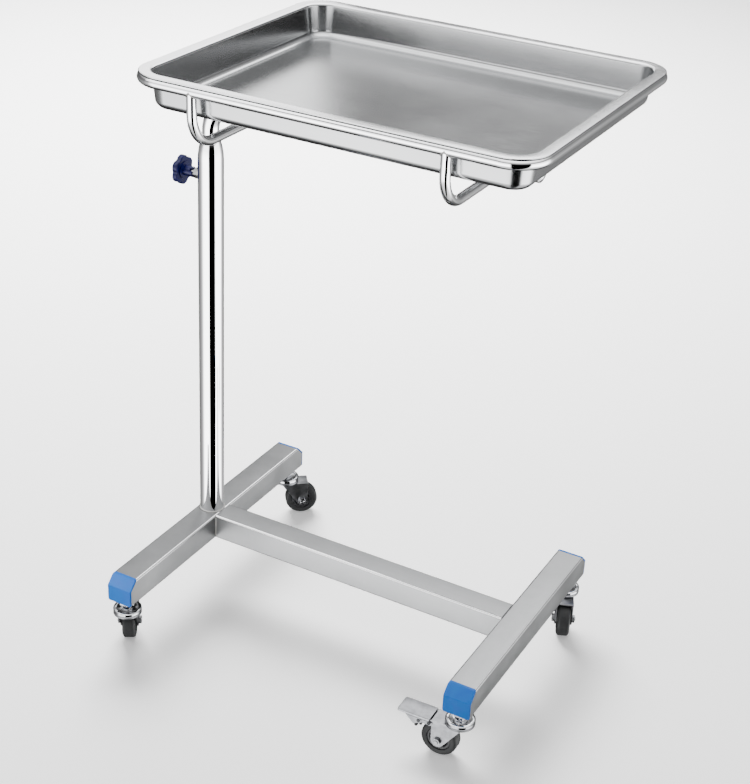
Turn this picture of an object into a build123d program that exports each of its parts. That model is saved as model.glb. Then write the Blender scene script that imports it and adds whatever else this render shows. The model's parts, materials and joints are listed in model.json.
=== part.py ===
"""Height-adjustable medical tray trolley: an H base on four swivel casters, a clamped
telescopic column at one side, and a cantilever arm whose two U bars carry a ring that a
deep-drawn stainless tray hangs in.

Millimetres, +Z up. The origin is on the floor, under the centre of the trolley's box.
+X runs from the column side to the free side, and -Y is the front.
"""

from build123d import *
from math import cos, radians, sin, sqrt
import os

os.makedirs("parts", exist_ok=True)

# Base: square tube legs with bevelled ends, joined by a cross beam
tube_size = 38.0
tube_wall = 1.5
tube_corner = 3.0
leg_pitch = 493.0
column_leg_length = 442.0
free_leg_length = 370.0
end_bevel = 14.0

# End caps
cap_lip = 2.6
cap_plug_depth = 5.0
cap_plug_wall = 2.0
cap_plug_clearance = 0.2
cap_edge_round = 1.0

# Casters
caster_height = 80.0
wheel_diameter = 50.0
wheel_width = 18.0
wheel_edge_round = 4.0
tyre_depth = 9.0
hub_rim_inset = 1.5
hub_web = 6.0
hub_rim_depth = 3.0
hub_boss_radius = 8.0
caster_trail = 24.5
stem_inset = 15.0
fork_plate = 2.0
fork_side_clearance = 1.3
fork_crown_gap = 3.5
fork_boss_radius = 9.0
fork_arm_length = 34.0
fork_heel = 7.0
fork_corner = 1.0
race_diameter = 39.0
race_bore = 15.0
lower_race_height = 4.5
upper_race_height = 4.0
race_gap = 1.0
race_edge_round = 1.2
ball_diameter = 3.5
ball_circle = 27.0
ball_count = 8
ball_clearance = 0.3
stem_diameter = 12.0
stem_thread_reach = 14.0
stem_neck_diameter = 15.0
stem_hexagon = 19.0
stem_hexagon_height = 9.0
stem_nut_height = 10.0
pivot_diameter = 10.0
pivot_head_diameter = 15.0
pivot_head_height = 1.6
axle_diameter = 6.0
axle_hexagon = 10.0
axle_head_height = 4.0
axle_nut_height = 5.0
sleeve_wall = 1.5
hole_clearance = 0.2
running_clearance = 0.05
seat_clearance = 0.05
free_clearance = 0.3

# Swivel angles of the casters, measured from +X
front_column_swivel = 121.0
rear_column_swivel = 38.0
front_free_swivel = 182.0
rear_free_swivel = -66.0

# Brake on the front caster of the free leg
pedal_start = 36.0
pedal_end = 82.0
pedal_plate = 1.5
pedal_corner = 2.0
pedal_skirt_reach = 54.0
pedal_skirt_bottom = 38.0
pedal_toe_height = 3.0
brake_pivot_reach = 37.0
brake_pivot_height = 50.0
brake_pin_diameter = 3.0
brake_ear_radius = 3.6
brake_head_diameter = 5.0
brake_head_height = 1.0
brake_shoe_gap = 2.9
brake_shoe_nose = 2.0
brake_shoe_level = 39.0
brake_shoe_width = 16.0
shoe_pin_reach = 51.5
shoe_pin_height = 48.5
shoe_boss_radius = 3.5

# Column, its neck and the guide bush inside it
column_diameter = 34.5
column_wall = 1.5
neck_height = 30.0
neck_diameter = 24.4
bush_height = 40.0
clamp_drop = 22.5

# Lifting post: one bent tube that turns into the cantilever arm
post_diameter = 22.0
post_wall = 2.0
post_insertion = 490.0
elbow_radius = 42.0
arm_height = 733.0
arm_length = 460.0
elbow_clearance = 11.0
guide_height = 30.0
guide_collar = 3.0
plug_dome = 5.0
plug_insert = 12.0

# Cradle bars and ring
bar_diameter = 12.0
bar_bend_share = 0.62
bar_spacing = 320.0
bar_end_setback = 25.2
bar_saddle = 1.0
ring_diameter = 13.0
ring_overhang = 1.7

# Tray
tray_length = 514.0
tray_width = 421.0
tray_corner = 43.0
tray_depth = 44.0
tray_sheet = 1.0
tray_rim = 16.0
tray_draft = 6.0
tray_floor_round = 9.5
tray_lip_round = 3.0
tray_hem_height = 1.7
tray_hem_width = 2.3
rim_rise = 91.0
tray_seat_gap = 0.2
tray_overrun = 77.4

# Clamp: weld nut, screw, star knob and pressure pad
clamp_thread = 8.0
clamp_nut_hexagon = 13.0
clamp_nut_height = 6.5
knob_gap = 2.5
knob_hub_length = 15.0
knob_hub_diameter = 14.0
knob_step_diameter = 24.0
knob_step_height = 1.5
knob_slot_width = 4.0
knob_slot_depth = 3.5
knob_slots = 4
knob_head_thickness = 8.0
knob_diameter = 40.0
knob_lobes = 6
knob_lobe_radius = 8.5
knob_edge_round = 1.5
knob_dome = 2.0
pad_thickness = 4.0
pad_gap = 0.3
pad_edge = 0.6

# Levels that follow from the sizes above
wheel_radius = wheel_diameter / 2
crown_bottom = wheel_diameter + fork_crown_gap
crown_top = crown_bottom + fork_plate
lower_race_top = crown_top + lower_race_height
upper_race_bottom = lower_race_top + race_gap
upper_race_top = upper_race_bottom + upper_race_height
ball_level = (lower_race_top + upper_race_bottom) / 2
tube_bottom = caster_height
tube_middle = tube_bottom + tube_size / 2
tube_top = tube_bottom + tube_size
cheek_inside = wheel_width / 2 + fork_side_clearance
cheek_outside = cheek_inside + fork_plate
rim_height = arm_height + rim_rise
column_top = arm_height - elbow_radius - elbow_clearance
column_shoulder = column_top - neck_height
clamp_height = column_shoulder - clamp_drop
column_to_tray = arm_length + tray_overrun - tray_length / 2

# Places in X and Y: the trolley's box is centred on the origin
knob_reach = (
    column_diameter / 2 + clamp_nut_height + knob_gap + knob_hub_length + knob_head_thickness
)
tray_reach = column_to_tray + tray_length / 2 + ring_overhang
column_x = (knob_reach - tray_reach) / 2
free_x = column_x + leg_pitch
column_stem = column_leg_length / 2 - stem_inset
free_stem = free_leg_length / 2 - stem_inset
rear_turn = radians(rear_column_swivel)
rear_reach = (
    column_stem
    + (caster_trail + wheel_radius) * sin(rear_turn)
    + wheel_width / 2 * cos(rear_turn)
    - wheel_edge_round * (sin(rear_turn) + cos(rear_turn) - 1)
)
front_reach = column_stem + race_diameter / 2
middle_y = (front_reach - rear_reach) / 2
tray_x = column_x + column_to_tray
column_origin = Vector(column_x, middle_y, 0)


def finish(piece: BuildPart, label: str) -> None:
    """Label a finished piece and write its STEP file."""
    piece.part.label = label
    export_step(piece.part, f"parts/{label}.step")


def upright(x: float, y: float) -> Plane:
    """The XZ plane seen from the front, through a point of the floor."""
    return Plane(origin=(x, y, 0), x_dir=(1, 0, 0), z_dir=(0, -1, 0))


def lengthways(x: float, y: float) -> Plane:
    """The YZ plane seen from +X, through a point of the floor."""
    return Plane(origin=(x, y, 0), x_dir=(0, 1, 0), z_dir=(1, 0, 0))


def cap_lip_outline(end: float, side: int) -> list[tuple[float, float]]:
    """Side view of the lip that follows a leg's bevelled end, as (along the leg, height)."""
    shoulder = tube_top - end_bevel
    return [
        (side * end, tube_bottom),
        (side * (end + cap_lip), tube_bottom),
        (side * (end + cap_lip), shoulder + cap_lip * (sqrt(2) - 1)),
        (side * (end - end_bevel + cap_lip * sqrt(2)), tube_top),
        (side * (end - end_bevel), tube_top),
        (side * end, shoulder),
    ]


def cap_plug_outline(end: float, side: int, depth: float, inset: float) -> list:
    """Side view of the plug behind the lip, inset from the tube's outside faces."""
    shoulder = tube_top - end_bevel
    return [
        (side * (end - depth), tube_bottom + inset),
        (side * end, tube_bottom + inset),
        (side * end, shoulder),
        (side * (end - end_bevel + inset), tube_top - inset),
        (side * (end - end_bevel + inset - depth), tube_top - inset),
        (side * (end - depth), shoulder),
    ]


def build_leg(label: str, x: float, length: float) -> None:
    """A square tube leg with both top ends bevelled and a stem hole at each end."""
    with BuildPart() as leg:
        with BuildSketch(upright(x, middle_y)):
            with Locations((0, tube_middle)):
                RectangleRounded(tube_size, tube_size, tube_corner)
                RectangleRounded(
                    tube_size - 2 * tube_wall,
                    tube_size - 2 * tube_wall,
                    tube_corner - tube_wall,
                    mode=Mode.SUBTRACT,
                )
        extrude(amount=length / 2, both=True)
        with BuildSketch(lengthways(x, middle_y)):
            for side in (-1, 1):
                with BuildLine():
                    Polyline(
                        (side * (length / 2 - end_bevel), tube_top),
                        (side * length / 2, tube_top),
                        (side * length / 2, tube_top - end_bevel),
                        close=True,
                    )
                make_face()
        extrude(amount=tube_size, both=True, mode=Mode.SUBTRACT)
        with BuildSketch(Plane.XY.offset(tube_bottom)):
            stem_y = length / 2 - stem_inset
            with Locations((x, middle_y - stem_y), (x, middle_y + stem_y)):
                Circle(stem_diameter / 2 + hole_clearance)
        extrude(amount=tube_wall, mode=Mode.SUBTRACT)
    finish(leg, label)


def build_end_cap(label: str, x: float, length: float, side: int) -> None:
    """A moulded plug: a lip over the bevelled tube end and a short hollow skirt inside."""
    end = length / 2
    corner_room = (tube_corner - tube_wall) * (1 - sqrt(0.5))
    plug_inset = tube_wall + corner_room + cap_plug_clearance
    with BuildPart() as cap:
        with BuildSketch(lengthways(x, middle_y)):
            with BuildLine():
                Polyline(*cap_lip_outline(end, side), close=True)
            make_face()
        extrude(amount=tube_size / 2, both=True)
        with BuildSketch(upright(x, middle_y + side * end)):
            with Locations((0, tube_middle)):
                RectangleRounded(tube_size, tube_size, tube_corner)
        extrude(amount=2 * end_bevel, both=True, mode=Mode.INTERSECT)
        end_face = cap.faces().sort_by(Axis.Y)[-1 if side > 0 else 0]
        bevel_direction = Vector(0, side, 1).normalized()
        bevel_face = cap.faces().filter_by(
            lambda face: (face.normal_at() - bevel_direction).length < 0.01
        )[0]
        fillet(end_face.edges() + bevel_face.edges().sort_by(Axis.Z)[1:], cap_edge_round)
        with BuildSketch(lengthways(x, middle_y)):
            with BuildLine():
                Polyline(*cap_plug_outline(end, side, cap_plug_depth, plug_inset), close=True)
            make_face()
        extrude(amount=tube_size / 2 - plug_inset, both=True)
        inner_inset = plug_inset + cap_plug_wall
        with BuildSketch(lengthways(x, middle_y)):
            with BuildLine():
                Polyline(*cap_plug_outline(end, side, tube_size, inner_inset), close=True)
            make_face()
        extrude(amount=tube_size / 2 - inner_inset, both=True, mode=Mode.SUBTRACT)
    finish(cap, label)


def build_base() -> None:
    """Two legs, the cross beam between them and the four end caps."""
    build_leg("column_leg", column_x, column_leg_length)
    build_leg("free_leg", free_x, free_leg_length)

    with BuildPart() as cross_beam:
        with BuildSketch(lengthways(column_x + tube_size / 2, middle_y)):
            with Locations((0, tube_middle)):
                RectangleRounded(tube_size, tube_size, tube_corner)
                RectangleRounded(
                    tube_size - 2 * tube_wall,
                    tube_size - 2 * tube_wall,
                    tube_corner - tube_wall,
                    mode=Mode.SUBTRACT,
                )
        extrude(amount=leg_pitch - tube_size)
    finish(cross_beam, "cross_beam")

    for leg, x, length in (
        ("column_leg", column_x, column_leg_length),
        ("free_leg", free_x, free_leg_length),
    ):
        for end, side in (("front", -1), ("rear", 1)):
            build_end_cap(f"cap_{leg}_{end}", x, length, side)


def build_column() -> None:
    """The fixed column with its swaged neck, the guide bush and the weld nut."""
    outside = column_diameter / 2
    bore = outside - column_wall
    neck = neck_diameter / 2
    neck_bore = post_diameter / 2 + free_clearance / 2
    axis = Axis(column_origin, (0, 0, 1))

    with BuildPart() as column_tube:
        with BuildSketch(upright(column_x, middle_y)):
            with BuildLine():
                Line((bore, column_shoulder), (bore, tube_top))
                Line((bore, tube_top), (outside, tube_top))
                Line((outside, tube_top), (outside, column_shoulder))
                TangentArc((outside, column_shoulder), (neck, column_top), tangent=(0, 1))
                Line((neck, column_top), (neck_bore, column_top))
                TangentArc((bore, column_shoulder), (neck_bore, column_top), tangent=(0, 1))
            make_face()
        revolve(axis=axis)
        with BuildSketch(lengthways(column_x, middle_y)):
            with Locations((0, clamp_height)):
                Circle(clamp_thread / 2 + hole_clearance)
        extrude(amount=-column_diameter, mode=Mode.SUBTRACT)
    finish(column_tube, "column_tube")

    with BuildPart() as column_bush:
        with BuildSketch(Plane(column_origin).offset(column_shoulder - bush_height)):
            Circle(bore - seat_clearance)
            Circle(post_diameter / 2 + running_clearance, mode=Mode.SUBTRACT)
        extrude(amount=bush_height)
        with BuildSketch(lengthways(column_x, middle_y)):
            with Locations((0, clamp_height)):
                Circle(clamp_thread / 2 + hole_clearance)
        extrude(amount=-column_diameter, mode=Mode.SUBTRACT)
    finish(column_bush, "column_guide_bush")

    with BuildPart() as clamp_nut:
        nut_end = lengthways(column_x - outside - clamp_nut_height, middle_y)
        with BuildSketch(nut_end):
            with Locations((0, clamp_height)):
                RegularPolygon(clamp_nut_hexagon / 2, 6, major_radius=False)
                Circle(clamp_thread / 2 + running_clearance, mode=Mode.SUBTRACT)
        extrude(amount=clamp_nut_height + column_wall)
        with BuildSketch(Plane(column_origin).offset(clamp_height - clamp_nut_hexagon)):
            Circle(outside + seat_clearance)
        extrude(amount=2 * clamp_nut_hexagon, mode=Mode.SUBTRACT)
    finish(clamp_nut, "clamp_weld_nut")


def build_clamp() -> None:
    """The star knob with its castellated hub, its screw and the pad that grips the post."""
    nut_face = column_x - column_diameter / 2 - clamp_nut_height
    hub_end = nut_face - knob_gap
    head_face = hub_end - knob_hub_length
    axis = Axis((0, middle_y, clamp_height), (1, 0, 0))

    with BuildPart() as clamp_knob:
        with BuildSketch(lengthways(head_face - knob_head_thickness, middle_y)):
            with Locations((0, clamp_height)):
                Circle(knob_diameter / 2 - knob_lobe_radius / 2)
                with PolarLocations(knob_diameter / 2 - knob_lobe_radius, knob_lobes, 30):
                    Circle(knob_lobe_radius)
            fillet(vertices(), knob_lobe_radius / 2)
        extrude(amount=knob_head_thickness)
        fillet(clamp_knob.faces().filter_by(Axis.X).edges(), knob_edge_round)
        with BuildSketch(lengthways(head_face, middle_y)):
            with Locations((0, clamp_height)):
                Circle(knob_step_diameter / 2)
        extrude(amount=knob_step_height)
        with BuildSketch(lengthways(head_face, middle_y)):
            with Locations((0, clamp_height)):
                Circle(knob_hub_diameter / 2)
        extrude(amount=knob_hub_length)
        with BuildSketch(lengthways(hub_end, middle_y)):
            with Locations((0, clamp_height)):
                with PolarLocations(0, knob_slots // 2, 45, 180):
                    Rectangle(knob_hub_diameter, knob_slot_width)
        extrude(amount=-knob_slot_depth, mode=Mode.SUBTRACT)
        with BuildSketch(lengthways(hub_end, middle_y)):
            with Locations((0, clamp_height)):
                Circle(clamp_thread / 2 + seat_clearance)
        extrude(amount=-(knob_hub_length + knob_dome), mode=Mode.SUBTRACT)
    finish(clamp_knob, "clamp_knob")

    pad_face = column_x - post_diameter / 2 - pad_gap
    with BuildPart() as clamp_screw:
        with BuildSketch(lengthways(head_face - knob_dome, middle_y)):
            with Locations((0, clamp_height)):
                Circle(clamp_thread / 2)
        extrude(amount=pad_face - pad_thickness - head_face + knob_dome)
    finish(clamp_screw, "clamp_screw")

    with BuildPart() as clamp_pad:
        with BuildSketch(lengthways(pad_face - pad_thickness, middle_y)):
            with Locations((0, clamp_height)):
                Circle(clamp_thread / 2)
        extrude(amount=pad_thickness)
        chamfer(clamp_pad.edges().sort_by(Axis.X)[-1], pad_edge)
    finish(clamp_pad, "clamp_pad")


def build_lift() -> None:
    """The bent post and arm, its guide and plug, the two cradle bars and the ring."""
    post_bottom = column_top - post_insertion
    arm_end = column_x + arm_length
    post_radius = post_diameter / 2
    ring_inset = ring_diameter / 2 - ring_overhang
    ring_level = rim_height - tray_sheet - tray_seat_gap - ring_diameter / 2
    ring_half_x = tray_length / 2 - ring_inset
    ring_half_y = tray_width / 2 - ring_inset
    bar_level = arm_height + post_radius + bar_diameter / 2 - bar_saddle
    bar_bend_radius = bar_bend_share * (ring_level - bar_level)

    with BuildPart() as lift_post:
        with BuildLine() as post_path:
            FilletPolyline(
                (column_x, middle_y, post_bottom),
                (column_x, middle_y, arm_height),
                (arm_end, middle_y, arm_height),
                radius=elbow_radius,
            )
        with BuildSketch(Plane(column_origin).offset(post_bottom)):
            Circle(post_radius)
            Circle(post_radius - post_wall, mode=Mode.SUBTRACT)
        sweep(path=post_path.line)
    finish(lift_post, "lift_post")

    with BuildPart() as post_guide:
        with BuildSketch(Plane(column_origin).offset(post_bottom)):
            Circle(column_diameter / 2 - column_wall - running_clearance)
            Circle(post_radius + seat_clearance, mode=Mode.SUBTRACT)
        extrude(amount=guide_height)
        with BuildSketch(Plane(column_origin).offset(post_bottom - guide_collar)):
            Circle(column_diameter / 2 - column_wall - running_clearance)
            Circle(post_radius - post_wall, mode=Mode.SUBTRACT)
        extrude(amount=guide_collar)
    finish(post_guide, "post_guide")

    with BuildPart() as arm_plug:
        plug_axis = Axis((arm_end, middle_y, arm_height), (1, 0, 0))
        plug_radius = post_radius - post_wall - seat_clearance
        with BuildSketch(upright(0, middle_y)):
            with BuildLine():
                dome_tip = (arm_end + plug_dome, arm_height)
                dome_edge = (arm_end, arm_height + post_radius)
                Polyline(
                    dome_tip,
                    (arm_end - plug_insert, arm_height),
                    (arm_end - plug_insert, arm_height + plug_radius),
                    (arm_end, arm_height + plug_radius),
                    dome_edge,
                )
                TangentArc(dome_tip, dome_edge, tangent=(0, 1))
            make_face()
        revolve(axis=plug_axis)
    finish(arm_plug, "arm_end_plug")

    with BuildPart() as tray_ring:
        with BuildLine() as ring_path:
            FilletPolyline(
                (tray_x + ring_half_x, middle_y - ring_half_y, ring_level),
                (tray_x + ring_half_x, middle_y + ring_half_y, ring_level),
                (tray_x - ring_half_x, middle_y + ring_half_y, ring_level),
                (tray_x - ring_half_x, middle_y - ring_half_y, ring_level),
                radius=tray_corner - ring_inset,
                close=True,
            )
        with BuildSketch(Plane(ring_path.line @ 0, z_dir=ring_path.line % 0)):
            Circle(ring_diameter / 2)
        sweep(path=ring_path.line)
    finish(tray_ring, "tray_ring")

    free_bar_x = arm_end - bar_end_setback
    for label, bar_x in (
        ("cradle_bar_column_side", free_bar_x - bar_spacing),
        ("cradle_bar_free_side", free_bar_x),
    ):
        with BuildPart() as cradle_bar:
            with BuildLine() as bar_path:
                FilletPolyline(
                    (bar_x, middle_y - ring_half_y, ring_level),
                    (bar_x, middle_y - ring_half_y, bar_level),
                    (bar_x, middle_y + ring_half_y, bar_level),
                    (bar_x, middle_y + ring_half_y, ring_level),
                    radius=bar_bend_radius,
                )
            with BuildSketch(Plane(bar_path.line @ 0, z_dir=(0, 0, -1))):
                Circle(bar_diameter / 2)
            sweep(path=bar_path.line)
            for y in (-ring_half_y, ring_half_y):
                with BuildSketch(lengthways(bar_x, middle_y)):
                    with Locations((y, ring_level)):
                        Circle(ring_diameter / 2 + seat_clearance)
                extrude(amount=bar_diameter, both=True, mode=Mode.SUBTRACT)
            with BuildSketch(lengthways(bar_x, middle_y)):
                with Locations((0, arm_height)):
                    Circle(post_radius + seat_clearance)
            extrude(amount=bar_diameter, both=True, mode=Mode.SUBTRACT)
        finish(cradle_bar, label)


def build_tray() -> None:
    """The deep-drawn pan: a flat hemmed rim, drafted walls and a rounded floor."""
    well_length = tray_length - 2 * tray_rim
    well_width = tray_width - 2 * tray_rim
    well_corner = tray_corner - tray_rim
    rim_plane = Plane(origin=(tray_x, middle_y, rim_height))
    underside = rim_height - tray_sheet

    with BuildPart() as well:
        with BuildSketch(rim_plane):
            RectangleRounded(well_length, well_width, well_corner)
        extrude(amount=-(tray_depth - tray_sheet), taper=tray_draft)
        fillet(well.faces().sort_by(Axis.Z)[0].edges(), tray_floor_round)

    with BuildPart() as tray_pan:
        with BuildSketch(rim_plane):
            RectangleRounded(
                well_length + 2 * tray_sheet, well_width + 2 * tray_sheet, well_corner + tray_sheet
            )
        extrude(amount=-tray_depth, taper=tray_draft)
        fillet(tray_pan.faces().sort_by(Axis.Z)[0].edges(), tray_floor_round + tray_sheet)
        with BuildSketch(rim_plane):
            RectangleRounded(tray_length, tray_width, tray_corner)
        extrude(amount=-tray_sheet)
        with BuildSketch(rim_plane):
            RectangleRounded(tray_length, tray_width, tray_corner)
            RectangleRounded(
                tray_length - 2 * tray_hem_width,
                tray_width - 2 * tray_hem_width,
                tray_corner - tray_hem_width,
                mode=Mode.SUBTRACT,
            )
        extrude(amount=-tray_hem_height)
        add(well.part, mode=Mode.SUBTRACT)
        for level, radius in ((underside, tray_lip_round), (rim_height, tray_lip_round + tray_sheet)):
            flat = tray_pan.faces().filter_by(Plane.XY).filter_by(
                lambda face: abs(face.center().Z - level) < tray_sheet / 10
            )[0]
            fillet(flat.inner_wires()[0].edges(), radius)
    finish(tray_pan, "tray_pan")


def caster_ground(x: float, y: float, turn: float) -> Plane:
    """Horizontal plane on the floor under a stem, with x along the caster's trail."""
    return Plane(origin=(x, y, 0), x_dir=(cos(turn), sin(turn), 0), z_dir=(0, 0, 1))


def caster_side(x: float, y: float, turn: float) -> Plane:
    """Upright plane through a stem, with x along the trail and y up."""
    return Plane(
        origin=(x, y, 0), x_dir=(cos(turn), sin(turn), 0), z_dir=(sin(turn), -cos(turn), 0)
    )


def build_head(name: str, ground: Plane) -> None:
    """The parts that stay with the leg: the stem and the upper race."""
    race_section = Plane(origin=ground.origin, x_dir=ground.x_dir, z_dir=-ground.y_dir)
    stem_axis = Axis(ground.origin, (0, 0, 1))
    groove = ball_diameter / 2 + ball_clearance

    with BuildPart() as stem:
        with BuildSketch(ground.offset(crown_bottom - pivot_head_height)):
            Circle(pivot_head_diameter / 2)
        extrude(amount=pivot_head_height - free_clearance)
        with BuildSketch(ground.offset(crown_bottom - pivot_head_height)):
            Circle(pivot_diameter / 2)
        extrude(amount=upper_race_top - crown_bottom + pivot_head_height)
        with BuildSketch(ground.offset(upper_race_top)):
            Circle(stem_neck_diameter / 2)
        extrude(amount=tube_bottom - stem_hexagon_height - upper_race_top)
        with BuildSketch(ground.offset(tube_bottom - stem_hexagon_height)):
            RegularPolygon(stem_hexagon / 2, 6, major_radius=False)
        extrude(amount=stem_hexagon_height)
        with BuildSketch(ground.offset(tube_bottom)):
            Circle(stem_diameter / 2)
        extrude(amount=stem_thread_reach)
        chamfer(stem.edges().sort_by(Axis.Z)[-1], 1)
    finish(stem, f"{name}_stem")

    with BuildPart() as upper_race:
        with BuildSketch(race_section):
            with BuildLine():
                Polyline(
                    (pivot_diameter / 2 + seat_clearance, upper_race_bottom),
                    (race_diameter / 2, upper_race_bottom),
                    (race_diameter / 2, upper_race_top - race_edge_round),
                    (race_diameter / 2 - race_edge_round, upper_race_top),
                    (race_bore, upper_race_top),
                    (race_bore - race_edge_round, upper_race_top - race_edge_round),
                    (stem_neck_diameter / 2 + free_clearance, upper_race_top - race_edge_round),
                    (stem_neck_diameter / 2, upper_race_top),
                    (pivot_diameter / 2 + seat_clearance, upper_race_top),
                    close=True,
                )
            make_face()
            with Locations((ball_circle / 2, ball_level)):
                Circle(groove, mode=Mode.SUBTRACT)
        revolve(axis=stem_axis)
    finish(upper_race, f"{name}_upper_race")


def build_swivel(name: str, ground: Plane, side: Plane, has_brake: bool) -> None:
    """The fork with its lower race, the balls, and the axle, nut and sleeve."""
    race_section = Plane(origin=ground.origin, x_dir=ground.x_dir, z_dir=-ground.y_dir)
    stem_axis = Axis(ground.origin, (0, 0, 1))
    groove = ball_diameter / 2 + ball_clearance
    axle_place = (caster_trail, wheel_radius)

    with BuildPart() as fork:
        with BuildSketch(ground.offset(crown_bottom)):
            Circle(cheek_outside)
            with Locations((-fork_heel, 0)):
                Rectangle(
                    fork_heel + fork_arm_length,
                    2 * cheek_outside,
                    align=(Align.MIN, Align.CENTER),
                )
        extrude(amount=fork_plate)
        for way in (-1, 1):
            with BuildSketch(side.offset(way * cheek_inside)):
                with Locations(axle_place):
                    Circle(fork_boss_radius)
                with Locations(
                    (fork_corner - fork_heel, crown_top - fork_corner),
                    (fork_arm_length - fork_corner, crown_top - fork_corner),
                ):
                    Circle(fork_corner)
                make_hull()
                if has_brake:
                    with Locations((brake_pivot_reach, brake_pivot_height)):
                        Circle(brake_ear_radius)
                        Rectangle(
                            brake_pivot_reach - caster_trail,
                            2 * brake_ear_radius,
                            align=(Align.MAX, Align.CENTER),
                        )
                        Circle(
                            brake_pin_diameter / 2 + running_clearance, mode=Mode.SUBTRACT
                        )
                with Locations(axle_place):
                    Circle(axle_diameter / 2 + seat_clearance, mode=Mode.SUBTRACT)
            extrude(amount=way * fork_plate)
        with BuildSketch(race_section):
            with BuildLine():
                Polyline(
                    (pivot_diameter / 2, crown_top),
                    (cheek_outside, crown_top),
                    (race_diameter / 2, crown_top + race_edge_round),
                    (race_diameter / 2, lower_race_top - race_edge_round),
                    (race_diameter / 2 - race_edge_round, lower_race_top),
                    (pivot_diameter / 2, lower_race_top),
                    close=True,
                )
            make_face()
            with Locations((ball_circle / 2, ball_level)):
                Circle(groove, mode=Mode.SUBTRACT)
        revolve(axis=stem_axis)
        with BuildSketch(ground.offset(crown_bottom)):
            Circle(pivot_diameter / 2 + free_clearance)
        extrude(amount=lower_race_top - crown_bottom, mode=Mode.SUBTRACT)
    finish(fork, f"{name}_fork")

    with BuildPart() as balls:
        with Locations(ground.offset(ball_level)):
            with PolarLocations(ball_circle / 2, ball_count):
                Sphere(ball_diameter / 2)
    finish(balls, f"{name}_balls")

    with BuildPart() as axle:
        with BuildSketch(side.offset(-cheek_outside - axle_nut_height)):
            with Locations(axle_place):
                Circle(axle_diameter / 2)
        extrude(amount=2 * cheek_outside + axle_nut_height)
        with BuildSketch(side.offset(cheek_outside)):
            with Locations(axle_place):
                RegularPolygon(axle_hexagon / 2, 6, major_radius=False)
        extrude(amount=axle_head_height)
    finish(axle, f"{name}_axle")

    with BuildPart() as axle_nut:
        with BuildSketch(side.offset(-cheek_outside)):
            with Locations(axle_place):
                RegularPolygon(axle_hexagon / 2, 6, major_radius=False)
                Circle(axle_diameter / 2 + seat_clearance, mode=Mode.SUBTRACT)
        extrude(amount=-(axle_nut_height - 1))
    finish(axle_nut, f"{name}_axle_nut")

    with BuildPart() as sleeve:
        with BuildSketch(side.offset(-cheek_inside)):
            with Locations(axle_place):
                Circle(axle_diameter / 2 + sleeve_wall)
                Circle(axle_diameter / 2 + seat_clearance, mode=Mode.SUBTRACT)
        extrude(amount=2 * cheek_inside)
    finish(sleeve, f"{name}_sleeve")


def build_wheel(name: str, side: Plane) -> None:
    """The tyre and the webbed hub that it is moulded on."""
    centre = side.from_local_coords(Vector(caster_trail, wheel_radius, 0))
    section = Plane(origin=centre, x_dir=side.z_dir, z_dir=-side.x_dir)
    axis = Axis(centre, side.z_dir)
    hub_radius = wheel_radius - tyre_depth
    bore = axle_diameter / 2 + sleeve_wall + running_clearance
    boss_end = cheek_inside - free_clearance

    with BuildPart() as tyre:
        with BuildSketch(section):
            with Locations((0, hub_radius)):
                tread = Rectangle(wheel_width, tyre_depth, align=(Align.CENTER, Align.MIN))
            fillet(tread.vertices().group_by(Axis.Z)[-1], wheel_edge_round)
        revolve(axis=axis)
    finish(tyre, f"{name}_tyre")

    with BuildPart() as hub:
        with BuildSketch(section):
            half = wheel_width / 2
            with BuildLine():
                Polyline(
                    (-boss_end, bore),
                    (boss_end, bore),
                    (boss_end, hub_boss_radius),
                    (hub_web / 2, hub_boss_radius + hub_rim_inset),
                    (hub_web / 2, hub_radius - hub_rim_depth - hub_rim_inset),
                    (half - hub_rim_inset, hub_radius - hub_rim_depth),
                    (half - hub_rim_inset, hub_radius),
                    (hub_rim_inset - half, hub_radius),
                    (hub_rim_inset - half, hub_radius - hub_rim_depth),
                    (-hub_web / 2, hub_radius - hub_rim_depth - hub_rim_inset),
                    (-hub_web / 2, hub_boss_radius + hub_rim_inset),
                    (-boss_end, hub_boss_radius),
                    close=True,
                )
            make_face()
        revolve(axis=axis)
    finish(hub, f"{name}_hub")


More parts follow.
